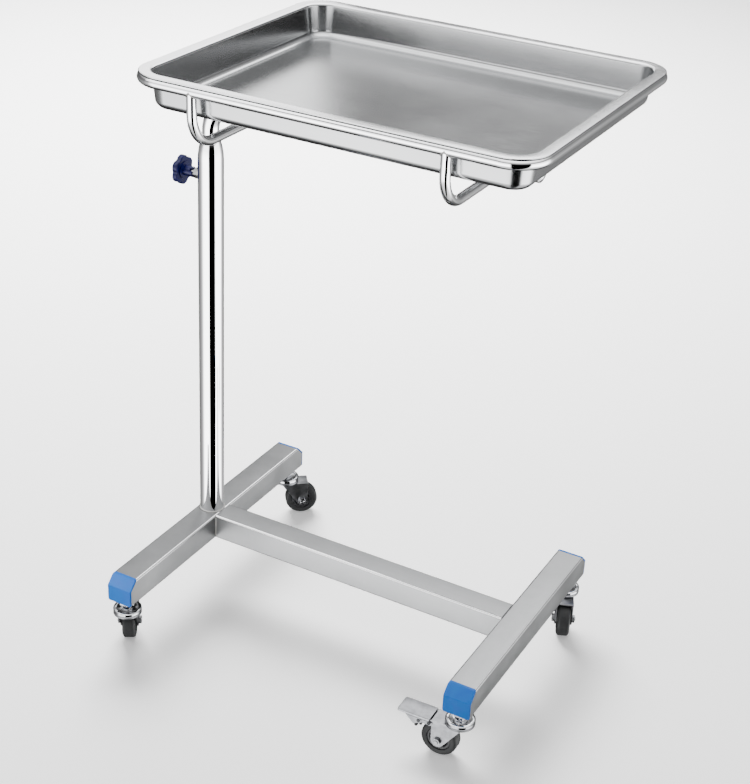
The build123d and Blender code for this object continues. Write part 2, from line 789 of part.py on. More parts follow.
def build_brake(name: str, ground: Plane, side: Plane) -> None:
    """The pedal, the shoe under it that meets the tread, and the two cross pins."""
    skirt_inside = cheek_outside + free_clearance
    skirt_outside = skirt_inside + pedal_plate
    plate_bottom = crown_top - pedal_plate
    pivot = (brake_pivot_reach, brake_pivot_height)
    shoe_pin = (shoe_pin_reach, shoe_pin_height)
    drop = brake_shoe_level - wheel_radius
    nose_distance = wheel_radius + brake_shoe_gap + brake_shoe_nose
    nose_reach = caster_trail + sqrt(nose_distance**2 - drop**2)

    with BuildPart() as pedal:
        with BuildSketch(ground.offset(plate_bottom)):
            with Locations(((pedal_start + pedal_end) / 2, 0)):
                RectangleRounded(pedal_end - pedal_start, 2 * skirt_outside, pedal_corner)
        extrude(amount=pedal_plate)
        for way in (-1, 1):
            with BuildSketch(side.offset(way * skirt_inside)):
                with BuildLine():
                    Polyline(
                        (pedal_start + pedal_corner, crown_top),
                        (pedal_end - pedal_corner, crown_top),
                        (pedal_end - pedal_corner, crown_top - pedal_toe_height),
                        (pedal_skirt_reach + pedal_corner, pedal_skirt_bottom),
                        (pedal_skirt_reach - pedal_corner, pedal_skirt_bottom),
                        (pedal_start, brake_pivot_height - brake_ear_radius),
                        close=True,
                    )
                make_face()
                with Locations(pivot):
                    Circle(brake_ear_radius + pedal_plate / 2)
                with Locations(pivot, shoe_pin):
                    Circle(brake_pin_diameter / 2 + seat_clearance, mode=Mode.SUBTRACT)
            extrude(amount=way * pedal_plate)
    finish(pedal, f"{name}_brake_pedal")

    with BuildPart() as shoe:
        with BuildSketch(side):
            with Locations((nose_reach, brake_shoe_level)):
                Circle(brake_shoe_nose)
            with Locations(shoe_pin):
                Circle(shoe_boss_radius)
            with Locations((shoe_pin_reach, plate_bottom)):
                Rectangle(2 * shoe_boss_radius, 1, align=(Align.CENTER, Align.MAX))
            make_hull()
        extrude(amount=brake_shoe_width / 2, both=True)
        with BuildSketch(side):
            with Locations(shoe_pin):
                Circle(shoe_boss_radius)
        extrude(amount=skirt_inside, both=True)
        with BuildSketch(side):
            with Locations(shoe_pin):
                Circle(brake_pin_diameter / 2 + seat_clearance)
        extrude(amount=skirt_inside, both=True, mode=Mode.SUBTRACT)
    finish(shoe, f"{name}_brake_shoe")

    with BuildPart() as pins:
        with BuildSketch(side):
            with Locations(pivot, shoe_pin):
                Circle(brake_pin_diameter / 2)
        extrude(amount=skirt_outside, both=True)
        for way in (-1, 1):
            with BuildSketch(side.offset(way * skirt_outside)):
                with Locations(pivot, shoe_pin):
                    Circle(brake_head_diameter / 2)
            extrude(amount=way * brake_head_height)
    finish(pins, f"{name}_brake_pins")


def build_casters() -> None:
    """Four casters at their swivel angles, the brake, and the nuts inside the legs."""
    corners = (
        ("caster_column_front", column_x, -column_stem, front_column_swivel, False),
        ("caster_column_rear", column_x, column_stem, rear_column_swivel, False),
        ("caster_free_front", free_x, -free_stem, front_free_swivel, True),
        ("caster_free_rear", free_x, free_stem, rear_free_swivel, False),
    )
    for name, x, stem_y, degrees, has_brake in corners:
        y = middle_y + stem_y
        ground = caster_ground(x, y, radians(degrees))
        side = caster_side(x, y, radians(degrees))
        build_head(name, ground)
        build_swivel(name, ground, side, has_brake)
        build_wheel(name, side)
        if has_brake:
            build_brake(name, ground, side)

    with BuildPart() as stem_nuts:
        with BuildSketch(Plane.XY.offset(tube_bottom + tube_wall)):
            with Locations(*[(x, middle_y + stem_y) for _, x, stem_y, _, _ in corners]):
                RegularPolygon(stem_hexagon / 2, 6, major_radius=False)
                Circle(stem_diameter / 2 + seat_clearance, mode=Mode.SUBTRACT)
        extrude(amount=stem_nut_height)
    finish(stem_nuts, "stem_nuts")


build_base()
build_column()
build_lift()
build_clamp()
build_tray()
build_casters()
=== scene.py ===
"""Dresses the height-adjustable tray trolley and sets it in a pale studio.

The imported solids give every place. Sizes below are millimetres, and every piece is written
in metres in the same frame: +Z up, +X from the column side to the free side, -Y the front.
"""

import json
import logging
import math
from collections.abc import Callable, Iterable, Sequence
from dataclasses import dataclass, field
from enum import Enum

import bmesh
import bpy
from mathutils import Matrix, Vector

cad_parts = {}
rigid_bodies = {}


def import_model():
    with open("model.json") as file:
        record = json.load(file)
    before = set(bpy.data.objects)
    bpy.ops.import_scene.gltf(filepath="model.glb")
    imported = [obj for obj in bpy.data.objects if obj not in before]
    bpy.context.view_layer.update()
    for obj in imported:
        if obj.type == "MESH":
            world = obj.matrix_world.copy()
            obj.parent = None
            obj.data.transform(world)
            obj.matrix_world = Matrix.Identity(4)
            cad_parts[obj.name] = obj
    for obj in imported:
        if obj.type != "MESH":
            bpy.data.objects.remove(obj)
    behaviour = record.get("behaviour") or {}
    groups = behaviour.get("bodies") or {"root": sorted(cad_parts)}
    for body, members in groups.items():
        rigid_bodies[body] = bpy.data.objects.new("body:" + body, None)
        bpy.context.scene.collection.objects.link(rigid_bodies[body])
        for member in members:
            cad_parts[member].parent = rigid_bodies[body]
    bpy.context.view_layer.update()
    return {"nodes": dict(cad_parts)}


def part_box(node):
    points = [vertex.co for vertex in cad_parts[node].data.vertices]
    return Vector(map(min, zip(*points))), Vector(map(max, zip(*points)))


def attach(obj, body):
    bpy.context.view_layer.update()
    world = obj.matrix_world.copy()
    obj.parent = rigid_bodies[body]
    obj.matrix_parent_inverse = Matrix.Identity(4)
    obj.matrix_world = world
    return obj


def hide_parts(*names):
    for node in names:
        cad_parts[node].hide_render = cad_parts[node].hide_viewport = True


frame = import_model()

LOG = logging.getLogger("tray_trolley")
MM = 0.001
UP, RIGHT, REAR = Vector((0, 0, 1)), Vector((1, 0, 0)), Vector((0, 1, 0))
# The turn in degrees past which an edge stays sharp
SHARP = 32.0
Row = list[Vector]
Pair = tuple[float, float]
Triple = tuple[float, float, float]
Piece = bpy.types.Object
Tree = bpy.types.NodeTree
Node = bpy.types.Node


class Body(str, Enum):
    """The moving bodies that pieces ride on."""

    FRAME = "frame"
    LIFT = "lift"
    TRAY = "tray"
    PAD = "clamp_pad"
    KNOB = "clamp_knob"
    BRAKE = "brake"


class Direction(Enum):
    """The way a brushed surface's grain runs."""

    ALONG_X = (0.02, 1.0, 1.0)
    ALONG_Y = (1.0, 0.02, 1.0)
    ALONG_Z = (1.0, 1.0, 0.02)
    NONE = (1.0, 1.0, 1.0)


def linear(hex_code: str) -> tuple[float, float, float, float]:
    """Turn an sRGB hex colour into linear light.

    Args:
        hex_code: Six hex digits, with or without a leading hash.

    Returns:
        Red, green, blue and an alpha of one.
    """
    digits = hex_code.lstrip("#")
    values = [int(digits[i : i + 2], 16) / 255 for i in (0, 2, 4)]
    bent = [v / 12.92 if v <= 0.04045 else ((v + 0.055) / 1.055) ** 2.4 for v in values]
    return (bent[0], bent[1], bent[2], 1.0)


def add_node(
    tree: Tree, kind: str, inputs: dict[str | int, object] | None = None, **settings: object
) -> Node:
    """Add one node with its settings, values and links.

    Args:
        tree: The tree that the node joins.
        kind: The node's type name.
        inputs: Values by socket. A pair of a node and an output links that output instead.
        settings: Attributes of the node, such as its operation.

    Returns:
        The new node.
    """
    node = tree.nodes.new(kind)
    for key, value in settings.items():
        setattr(node, key, value)
    for key, value in (inputs or {}).items():
        if isinstance(value, tuple) and isinstance(value[0], Node):
            tree.links.new(value[0].outputs[value[1]], node.inputs[key])
        else:
            node.inputs[key].default_value = value
    return node


# Finishes


@dataclass(frozen=True)
class Noise:
    """A noise pattern: the size of its features, its detail and how it is stretched."""

    size_mm: float
    detail: float
    roughness: float = 0.5
    stretch: Triple | None = None

    def add_to(self, tree: Tree, coordinates: Node) -> Node:
        """Add the pattern to a material.

        Args:
            tree: The material's tree.
            coordinates: Its coordinate node.

        Returns:
            The noise node.
        """
        place = (coordinates, "Object")
        if self.stretch:
            place = (add_node(tree, "ShaderNodeMapping", {"Vector": place, "Scale": self.stretch}), "Vector")
        values = {"Scale": 1 / (self.size_mm * MM), "Detail": self.detail, "Roughness": self.roughness}
        return add_node(tree, "ShaderNodeTexNoise", {"Vector": place, **values})


@dataclass(frozen=True)
class Finish:
    """What every finish has: a name, a record slot, a colour and a roughness."""

    name: str
    slot: str
    colour: str
    roughness: float

    def build(self) -> bpy.types.Material:
        """Make the material."""
        raise NotImplementedError

    def coat(
        self,
        fine: Noise,
        broad: Noise,
        tones: tuple[tuple[float, str], tuple[float, str]],
        span: Pair,
        relief: Pair,
        spread: float,
        mixed: bool,
        values: dict[str, float],
    ) -> bpy.types.Material:
        """Make the material from a fine and a broad pattern.

        Args:
            fine: The grain or skin, which gives the bump.
            broad: The smears or scuffs, which give the tone and the roughness.
            tones: Two values of the broad pattern with their colours.
            span: The values that give the least and the most roughness.
            relief: The bump's strength, and its depth in millimetres.
            spread: How far the roughness strays to each side.
            mixed: Whether the fine pattern breaks up the roughness too.
            values: The shader's uniform values.

        Returns:
            The material.
        """
        material = bpy.data.materials.new(self.name)
        material.use_nodes = True
        tree = material.node_tree
        tree.nodes.clear()
        coordinates = add_node(tree, "ShaderNodeTexCoord")
        skin, patches = fine.add_to(tree, coordinates), broad.add_to(tree, coordinates)
        tone = add_node(tree, "ShaderNodeValToRGB", {"Fac": (patches, "Fac")})
        for stop, (position, colour) in zip(tone.color_ramp.elements, tones):
            stop.position = position
            stop.color = linear(colour)
        source = (patches, "Fac")
        if mixed:
            both = {0: (skin, "Fac"), 1: (patches, "Fac")}
            source = (add_node(tree, "ShaderNodeMath", both, operation="MULTIPLY"), "Value")
        ends = {"To Min": max(self.roughness - spread, 0.02), "To Max": self.roughness + spread}
        limits = {"From Min": span[0], "From Max": span[1]}
        rough = add_node(tree, "ShaderNodeMapRange", {"Value": source, **limits, **ends})
        depth = {"Strength": relief[0], "Distance": relief[1] * MM}
        bump = add_node(tree, "ShaderNodeBump", {**depth, "Height": (skin, "Fac")})
        links = {"Base Color": (tone, "Color"), "Roughness": (rough, "Result"), "Normal": (bump, "Normal")}
        start = {"Base Color": linear(self.colour), "Roughness": self.roughness}
        shader = add_node(tree, "ShaderNodeBsdfPrincipled", {**values, **start})
        for key, (node, output) in links.items():
            tree.links.new(node.outputs[output], shader.inputs[key])
        add_node(tree, "ShaderNodeOutputMaterial", {"Surface": (shader, "BSDF")})
        return material


@dataclass(frozen=True)
class Metal(Finish):
    """Bare or plated metal with a grain, faint smears and small changes of tone."""

    tone: str = "#C9CACC"
    grain: Direction = Direction.NONE
    grain_mm: float = 0.6
    grain_depth_mm: float = 0.01
    smear_mm: float = 60.0
    spread: float = 0.06

    def build(self) -> bpy.types.Material:
        """Make a material whose roughness and bump follow the grain."""
        return self.coat(
            fine=Noise(self.grain_mm, 3.0, stretch=self.grain.value),
            broad=Noise(self.smear_mm, 4.0, 0.6),
            tones=((0.3, self.tone), (0.7, self.colour)),
            span=(0.1, 0.45),
            relief=(0.5, self.grain_depth_mm),
            spread=self.spread,
            mixed=True,
            values={"Metallic": 1.0},
        )


@dataclass(frozen=True)
class Moulded(Finish):
    """Moulded plastic or rubber with a fine spark texture and softly scuffed patches."""

    worn: str = "#808080"
    texture_mm: float = 0.8
    texture_depth_mm: float = 0.02
    scuff_mm: float = 14.0
    spread: float = 0.08
    shine: float = 0.3

    def build(self) -> bpy.types.Material:
        """Make a material with a textured skin."""
        return self.coat(
            fine=Noise(self.texture_mm, 2.0),
            broad=Noise(self.scuff_mm, 5.0),
            tones=((0.35, self.colour), (0.85, self.worn)),
            span=(0.3, 0.7),
            relief=(0.4, self.texture_depth_mm),
            spread=self.spread,
            mixed=False,
            values={"IOR": 1.5, "Specular IOR Level": self.shine},
        )


class Palette:
    """The trolley's finishes, each built once when it is first asked for."""

    # Deep-drawn 304 sheet: bright, with the press's fine satin left on it
    tray = Metal("stainless_tray_sheet", "tray_sheet", "#A9AAAB", 0.2, tone="#A2A3A4",
                 grain=Direction.ALONG_X, grain_mm=0.9, grain_depth_mm=0.001, smear_mm=140, spread=0.03)
    # Machine-polished round tube: nearly a mirror
    tube = Metal("stainless_polished_tube", "polished_tube", "#F2F2F3", 0.04, tone="#ECECEE",
                 grain=Direction.ALONG_Z, grain_mm=0.5, grain_depth_mm=0.0001, spread=0.015)
    rod = Metal("stainless_polished_rod", "cradle_rod", "#E6E6E7", 0.07, tone="#DADBDD",
                grain_mm=0.5, grain_depth_mm=0.0002, spread=0.02)
    # Linished square tube: a straight belt grain along each length
    square_y = Metal("stainless_linished_leg", "base_tube", "#8F9091", 0.36, tone="#828384",
                     grain=Direction.ALONG_Y, grain_mm=0.7, grain_depth_mm=0.006)
    square_x = Metal("stainless_linished_beam", "base_tube", "#8E8F90", 0.42, tone="#828384",
                     grain=Direction.ALONG_X, grain_mm=0.7, grain_depth_mm=0.006)
    # The tubes' rounded corners: smoother than the flats, and painted lighter as a painted highlight along
    # each corner
    edge = Metal("stainless_tube_corner", "base_tube", "#D8D8D9", 0.18, tone="#C6C6C8",
                 grain_mm=0.7, grain_depth_mm=0.002)
    weld = Metal("stainless_tig_weld", "base_tube", "#A4A4A3", 0.3, tone="#8C8A86",
                 grain_mm=1.2, grain_depth_mm=0.03)
    # Bright zinc plate on pressed steel: neutral and slightly milky
    zinc = Metal("zinc_plated_pressing", "caster_zinc", "#8C8D90", 0.34, tone="#6A6B6E",
                 grain_mm=1.6, grain_depth_mm=0.01, smear_mm=12)
    hardware = Metal("zinc_plated_fastener", "hardware_zinc", "#9A9B9D", 0.26, tone="#7A7B7E",
                     grain_mm=1.0, grain_depth_mm=0.01, smear_mm=8)
    # The races and the stem are plated over a turned surface, so they mirror more
    race = Metal("zinc_plated_bright_race", "caster_zinc", "#C2C3C6", 0.09, tone="#8E8F92",
                 grain_mm=1.4, grain_depth_mm=0.002, smear_mm=10, spread=0.03)
    # The brake pins, zinc plated, painted near black: painted shade for the hollows in their collars
    pin = Metal("steel_blackened_pin", "hardware_zinc", "#3E3F41", 0.34, tone="#2C2D2E",
                grain_mm=1.0, grain_depth_mm=0.01, smear_mm=8)
    ball = Metal("polished_bearing_steel", "bearing_steel", "#D0D1D3", 0.08, tone="#C4C5C7",
                 grain_mm=0.5, grain_depth_mm=0.001)
    # Moulded polypropylene in light blue, satin with a faint spark texture
    cap = Moulded("polypropylene_light_blue", "end_caps", "#0A70DC", 0.5, worn="#1A80E2")
    # Glossy nylon in navy
    knob = Moulded("nylon_navy", "knob_plastic", "#0A0C52", 0.34, worn="#121460", shine=0.2)
    guide = Moulded("acetal_grey", "guide_plastic", "#5A5C5E", 0.4, worn="#6A6C6E")
    # Thermoplastic rubber tread, dark grey and matt
    tyre = Moulded("thermoplastic_rubber_tread", "wheel_tread", "#1E1F20", 0.6, worn="#2C2D2E",
                   texture_mm=1.2, texture_depth_mm=0.04)
    hub = Moulded("polyamide_wheel_core", "wheel_hub", "#4A4B4D", 0.4, worn="#5A5B5D")
    shoe = Moulded("nitrile_brake_shoe", "brake_shoe", "#141415", 0.6, worn="#1E1E20")
    # The upward faces of the flat rim and its hem, painted brighter than the satin pan: a painted highlight
    rim = Metal("stainless_buffed_rim", "tray_sheet", "#F0F0F1", 0.24, tone="#E2E2E4",
                grain=Direction.ALONG_X, grain_mm=0.9, grain_depth_mm=0.003, smear_mm=90)
    # The rim's downward faces, painted dark: painted shade under the rim and its hem
    underside = Metal("stainless_as_pressed", "tray_sheet", "#4A4A4C", 0.5, tone="#3C3C3E",
                      grain_mm=0.8, grain_depth_mm=0.01)
    _made: dict[str, bpy.types.Material] = {}

    @classmethod
    def of(cls, finish: Finish) -> bpy.types.Material:
        """Return the finish's material, built the first time."""
        if finish.name not in cls._made:
            cls._made[finish.name] = finish.build()
        return cls._made[finish.name]


# Mesh tools


def arc_points(centre: Pair, radius: float, first: float, last: float, steps: int) -> list[Pair]:
    """Return an arc's points, one more than its steps, from the first to the last degree."""
    turns = [math.radians(first + (last - first) * i / steps) for i in range(steps + 1)]
    return [(centre[0] + radius * math.cos(t), centre[1] + radius * math.sin(t)) for t in turns]


def circle_points(centre: Vector, first: Vector, second: Vector, radius: float, count: int) -> Row:
    """Return points round a circle, which the two ways span and the first of them starts."""
    turns = [math.tau * i / count for i in range(count)]
    return [centre + (first * math.cos(t) + second * math.sin(t)) * radius for t in turns]


def loft(name: str, rows: Sequence[Row], closed: bool = False) -> Piece:
    """Join rows of points, each a closed loop, into a skin.

    Args:
        name: The object's name.
        rows: Loops with the same number of points.
        closed: Whether the last row joins the first. If not, both ends are filled.

    Returns:
        A new object with smooth faces that point outwards.
    """
    mesh = bmesh.new()
    made = [[mesh.verts.new(point * MM) for point in row] for row in rows]
    pairs = list(zip(made, made[1:]))
    if closed:
        pairs.append((made[-1], made[0]))
    for low, high in pairs:
        for i in range(len(low)):
            j = (i + 1) % len(low)
            mesh.faces.new((low[i], low[j], high[j], high[i]))
    if not closed:
        mesh.faces.new(list(reversed(made[0])))
        mesh.faces.new(made[-1])
    return write_mesh(name, mesh)


def write_mesh(name: str, mesh: bmesh.types.BMesh, sharp_degrees: float = SHARP) -> Piece:
    """Close the mesh's seams, turn its faces outwards and make an object of it.

    Args:
        name: The object's name.
        mesh: The edited mesh, freed here.
        sharp_degrees: The turn past which an edge stays sharp.

    Returns:
        The new object, linked to the scene.
    """
    bmesh.ops.remove_doubles(mesh, verts=mesh.verts, dist=1e-7)
    bmesh.ops.dissolve_degenerate(mesh, edges=mesh.edges, dist=1e-8)
    bmesh.ops.recalc_face_normals(mesh, faces=mesh.faces)
    data = bpy.data.meshes.new(name)
    mesh.to_mesh(data)
    mesh.free()
    data.shade_smooth()
    data.set_sharp_from_angle(angle=math.radians(sharp_degrees))
    return link(name, data)


def link(name: str, data: bpy.types.ID | None) -> Piece:
    """Make an object and link it to the scene.

    Args:
        name: The object's name.
        data: Its mesh, curve, lamp or camera.

    Returns:
        The object.
    """
    made = bpy.data.objects.new(name, data)
    bpy.context.scene.collection.objects.link(made)
    return made


def lathe(
    name: str, profile: Sequence[Pair], centre: Vector, axis: Vector, segments: int, closed: bool = True
) -> Piece:
    """Turn a profile about an axis.

    Args:
        name: The object's name.
        profile: Points as radius and distance along the axis.
        centre: The point that distances are measured from.
        axis: The axis, of length one.
        segments: Steps round the turn.
        closed: Whether the profile is a closed outline, as of a ring.

    Returns:
        The turned object.
    """
    across = axis.orthogonal().normalized()
    third = axis.cross(across)
    rows = [circle_points(centre + axis * z, across, third, r, segments) for r, z in profile]
    return loft(name, rows, closed)


def pipe(
    name: str,
    corners: Sequence[Vector],
    bend: float,
    radius: float,
    closed: bool = False,
    steps: int = 20,
    segments: int = 32,
) -> Piece:
    """Carry a circle along a run of straight lines and bends without twisting it.

    Args:
        name: The object's name.
        corners: Where the straight lines of its centre line meet.
        bend: The radius of the bends.
        radius: The circle's radius.
        closed: Whether the run is a loop.
        steps: Steps in each bend.
        segments: Points round the circle.

    Returns:
        The pipe.
    """
    path = rounded_path(corners, bend, closed, steps)
    rows = []
    count = len(path)
    side = None
    for i, point in enumerate(path):
        before = path[(i - 1) % count] if closed or i else path[0]
        after = path[(i + 1) % count] if closed or i < count - 1 else path[-1]
        tangent = (after - before).normalized()
        if side is None:
            side = tangent.orthogonal().normalized()
        side = (side - tangent * side.dot(tangent)).normalized()
        rows.append(circle_points(point, side, tangent.cross(side), radius, segments))
    return loft(name, rows, closed)


def rounded_path(corners: Sequence[Vector], radius: float, closed: bool, steps: int) -> Row:
    """Round the corners of a run of straight lines.

    Args:
        corners: The corner points.
        radius: The bend radius.
        closed: Whether the run is a loop.
        steps: Steps in each bend.

    Returns:
        The points of the rounded path.
    """
    path: Row = []
    count = len(corners)
    for i, corner in enumerate(corners):
        if not closed and i in (0, count - 1):
            path.append(corner.copy())
            continue
        back = (corners[(i - 1) % count] - corner).normalized()
        ahead = (corners[(i + 1) % count] - corner).normalized()
        half = back.angle(ahead) / 2
        reach = radius / math.tan(half)
        middle = corner + (back + ahead).normalized() * (radius / math.sin(half))
        start = corner + back * reach - middle
        normal = start.cross(corner + ahead * reach - middle).normalized()
        for k in range(steps + 1):
            turn = (math.pi - 2 * half) * k / steps
            path.append(middle + Matrix.Rotation(turn, 3, normal) @ start)
    return path


def copy_node(node: str, name: str, bevel_mm: float = 0.0) -> Piece:
    """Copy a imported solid's mesh, merge its loose triangles and ease its sharp edges.

    Args:
        node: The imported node.
        name: The copy's name.
        bevel_mm: The width of the eased edges, or none.

    Returns:
        The copy.
    """
    mesh = bmesh.new()
    mesh.from_mesh(frame["nodes"][node].data)
    bmesh.ops.remove_doubles(mesh, verts=mesh.verts, dist=1e-6)
    bmesh.ops.dissolve_limit(mesh, angle_limit=math.radians(0.6), verts=mesh.verts, edges=mesh.edges)
    made = write_mesh(name, mesh)
    if bevel_mm:
        easing = made.modifiers.new("eased_edges", "BEVEL")
        easing.width = bevel_mm * MM
        easing.segments = 2
        easing.limit_method = "ANGLE"
        easing.angle_limit = math.radians(SHARP)
        easing.harden_normals = True
        bake(made)
    return made


def cut(piece: Piece, rows: Sequence[Row]) -> None:
    """Cut the body that joins some rows out of a piece.

    Args:
        piece: The piece.
        rows: The rows of the body.
    """
    cutter = loft(piece.name + "_cutter", rows)
    hole = piece.modifiers.new("hole", "BOOLEAN")
    hole.operation = "DIFFERENCE"
    hole.solver = "EXACT"
    hole.object = cutter
    bake(piece)
    bpy.data.objects.remove(cutter)


def flat_mesh(piece: Piece) -> bpy.types.Mesh:
    """Return the plain mesh that a piece's modifiers make."""
    graph = bpy.context.evaluated_depsgraph_get()
    return bpy.data.meshes.new_from_object(piece.evaluated_get(graph), depsgraph=graph)


def bake(piece: Piece) -> None:
    """Turn a piece's modifiers into plain mesh, and remove them."""
    piece.data = flat_mesh(piece)
    piece.modifiers.clear()


def place(piece: Piece, centre: Vector, axis: Vector) -> Piece:
    """Turn a piece made about Z onto an axis, and move it, in its mesh.

    Args:
        piece: The piece, made at the origin.
        centre: Where its origin goes, in millimetres.
        axis: Where its Z axis goes.

    Returns:
        The same piece.
    """
    turn = axis.to_track_quat("Z", "Y").to_matrix().to_4x4()
    piece.data.transform(Matrix.Translation(centre * MM) @ turn)
    return piece


def settle(piece: Piece, finish: Finish, body: str, nodes: Iterable[str] = ()) -> Piece:
    """Dress a piece, put it on its body and say what it stands for.

    Args:
        piece: The finished piece.
        finish: Its finish.
        body: The body that it rides on.
        nodes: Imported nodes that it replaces.

    Returns:
        The same piece.
    """
    piece.data.materials.clear()
    piece.data.materials.append(Palette.of(finish))
    for face in piece.data.polygons:
        face.material_index = 0
    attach(piece, body)
    nodes = list(nodes)
    if nodes:
        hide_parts(*nodes)
    LOG.info("%s rides on %s", piece.name, body)
    return piece


def settle_copy(node: str, name: str, finish: Finish, body: str, bevel_mm: float = 0.0) -> Piece:
    """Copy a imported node, dress the copy and let it stand for the node."""
    return settle(copy_node(node, name, bevel_mm), finish, body, [node])


def second_finish(piece: Piece, finish: Finish, chosen: Callable[[bpy.types.MeshPolygon], bool]) -> None:
    """Give some of a piece's faces another finish.

    Args:
        piece: The dressed piece.
        finish: The other finish.
        chosen: Tells whether a face takes it.
    """
    piece.data.materials.append(Palette.of(finish))
    last = len(piece.data.materials) - 1
    for face in piece.data.polygons:
        if chosen(face):
            face.material_index = last


# Geometry Nodes recipes


class Recipe:
    """A Geometry Nodes tree with named inputs, baked to a plain mesh after each use."""

    KINDS = {int: "NodeSocketInt", float: "NodeSocketFloat"}

    def __init__(self, name: str, inputs: dict[str, float | int]) -> None:
        """Start the tree.

        Args:
            name: The tree's name.
            inputs: The named sizes, with their defaults.
        """
        self.tree = bpy.data.node_groups.new(name, "GeometryNodeTree")
        face = self.tree.interface
        face.new_socket("Geometry", in_out="INPUT", socket_type="NodeSocketGeometry")
        self.sockets: dict[str, str] = {}
        for key, default in inputs.items():
            socket = face.new_socket(key, in_out="INPUT", socket_type=self.KINDS[type(default)])
            socket.default_value = default
            self.sockets[key] = socket.identifier
        face.new_socket("Geometry", in_out="OUTPUT", socket_type="NodeSocketGeometry")
        self.source = add_node(self.tree, "NodeGroupInput")

    def close(self, node: Node, output: str) -> None:
        """End the tree in real geometry, which the output of a last node gives."""
        real = add_node(self.tree, "GeometryNodeRealizeInstances", {"Geometry": (node, output)})
        add_node(self.tree, "NodeGroupOutput", {"Geometry": (real, "Geometry")})

    def make(self, start: Piece, name: str, values: dict[str, float | int]) -> Piece:
        """Run the recipe on an object and keep the result as a plain mesh.

        Args:
            start: The object that the tree reads, removed afterwards.
            name: The result's name.
            values: Sizes by input name.

        Returns:
            A new mesh object.
        """
        modifier = start.modifiers.new("recipe", "NODES")
        modifier.node_group = self.tree
        for key, value in values.items():
            modifier[self.sockets[key]] = value
        data = flat_mesh(start)
        bpy.data.objects.remove(start)
        data.name = name
        return link(name, data)


class PolarArray(Recipe):
    """Copies of the start object, turned evenly about the Z axis."""

    def __init__(self) -> None:
        """Build the tree."""
        super().__init__("polar_array", {"Count": 6})
        tree, source = self.tree, self.source
        line = {"Count": (source, "Count"), "Offset": (0.0, 0.0, 0.0)}
        points = add_node(tree, "GeometryNodeMeshLine", line)
        ratio = {0: (add_node(tree, "GeometryNodeInputIndex"), "Index"), 1: (source, "Count")}
        share = add_node(tree, "ShaderNodeMath", ratio, operation="DIVIDE")
        turn = add_node(tree, "ShaderNodeMath", {0: (share, "Value"), 1: math.tau}, operation="MULTIPLY")
        euler = add_node(tree, "ShaderNodeCombineXYZ", {"Z": (turn, "Value")})
        links = {"Points": (points, "Mesh"), "Instance": (source, "Geometry"), "Rotation": (euler, "Vector")}
        self.close(add_node(tree, "GeometryNodeInstanceOnPoints", links), "Instances")


class WeldRipple(Recipe):
    """Overlapping flattened drops along a curve, as a TIG torch leaves them."""

    def __init__(self) -> None:
        """Build the tree."""
        super().__init__("weld_ripple", {"Pitch": 0.0012, "Bead": 0.0012, "Seed": 7})
        tree, source = self.tree, self.source
        run = {"Curve": (source, "Geometry"), "Length": (source, "Pitch")}
        steps = add_node(tree, "GeometryNodeResampleCurve", run, mode="LENGTH")
        ball = {"Segments": 12, "Rings": 8, "Radius": (source, "Bead")}
        drop = add_node(tree, "GeometryNodeMeshUVSphere", ball)
        smooth = add_node(tree, "GeometryNodeSetShadeSmooth", {"Geometry": (drop, "Mesh")})
        # Each drop is between 0.85 and 1.1 times the bead's size
        spread = {2: 0.85, 3: 1.1, "Seed": (source, "Seed")}
        size = add_node(tree, "FunctionNodeRandomValue", spread, data_type="FLOAT")
        links = {"Points": (steps, "Curve"), "Instance": (smooth, "Geometry"), "Scale": (size, 1)}
        self.close(add_node(tree, "GeometryNodeInstanceOnPoints", links), "Instances")


class ScrewThread(Recipe):
    """A ridge wound along the Z axis."""

    def __init__(self) -> None:
        """Build the tree."""
        super().__init__("screw_thread", {"Turns": 8.0, "Radius": 0.004, "Length": 0.01, "Ridge": 0.0004})
        tree, source = self.tree, self.source
        spiral = {"Resolution": 24, "Rotations": (source, "Turns"), "Height": (source, "Length")}
        ends = {"Start Radius": (source, "Radius"), "End Radius": (source, "Radius")}
        helix = add_node(tree, "GeometryNodeCurveSpiral", {**spiral, **ends})
        section = {"Resolution": 6, "Radius": (source, "Ridge")}
        ridge = add_node(tree, "GeometryNodeCurvePrimitiveCircle", section)
        sweep = {"Curve": (helix, "Curve"), "Profile Curve": (ridge, "Curve"), "Fill Caps": True}
        self.close(add_node(tree, "GeometryNodeCurveToMesh", sweep), "Mesh")


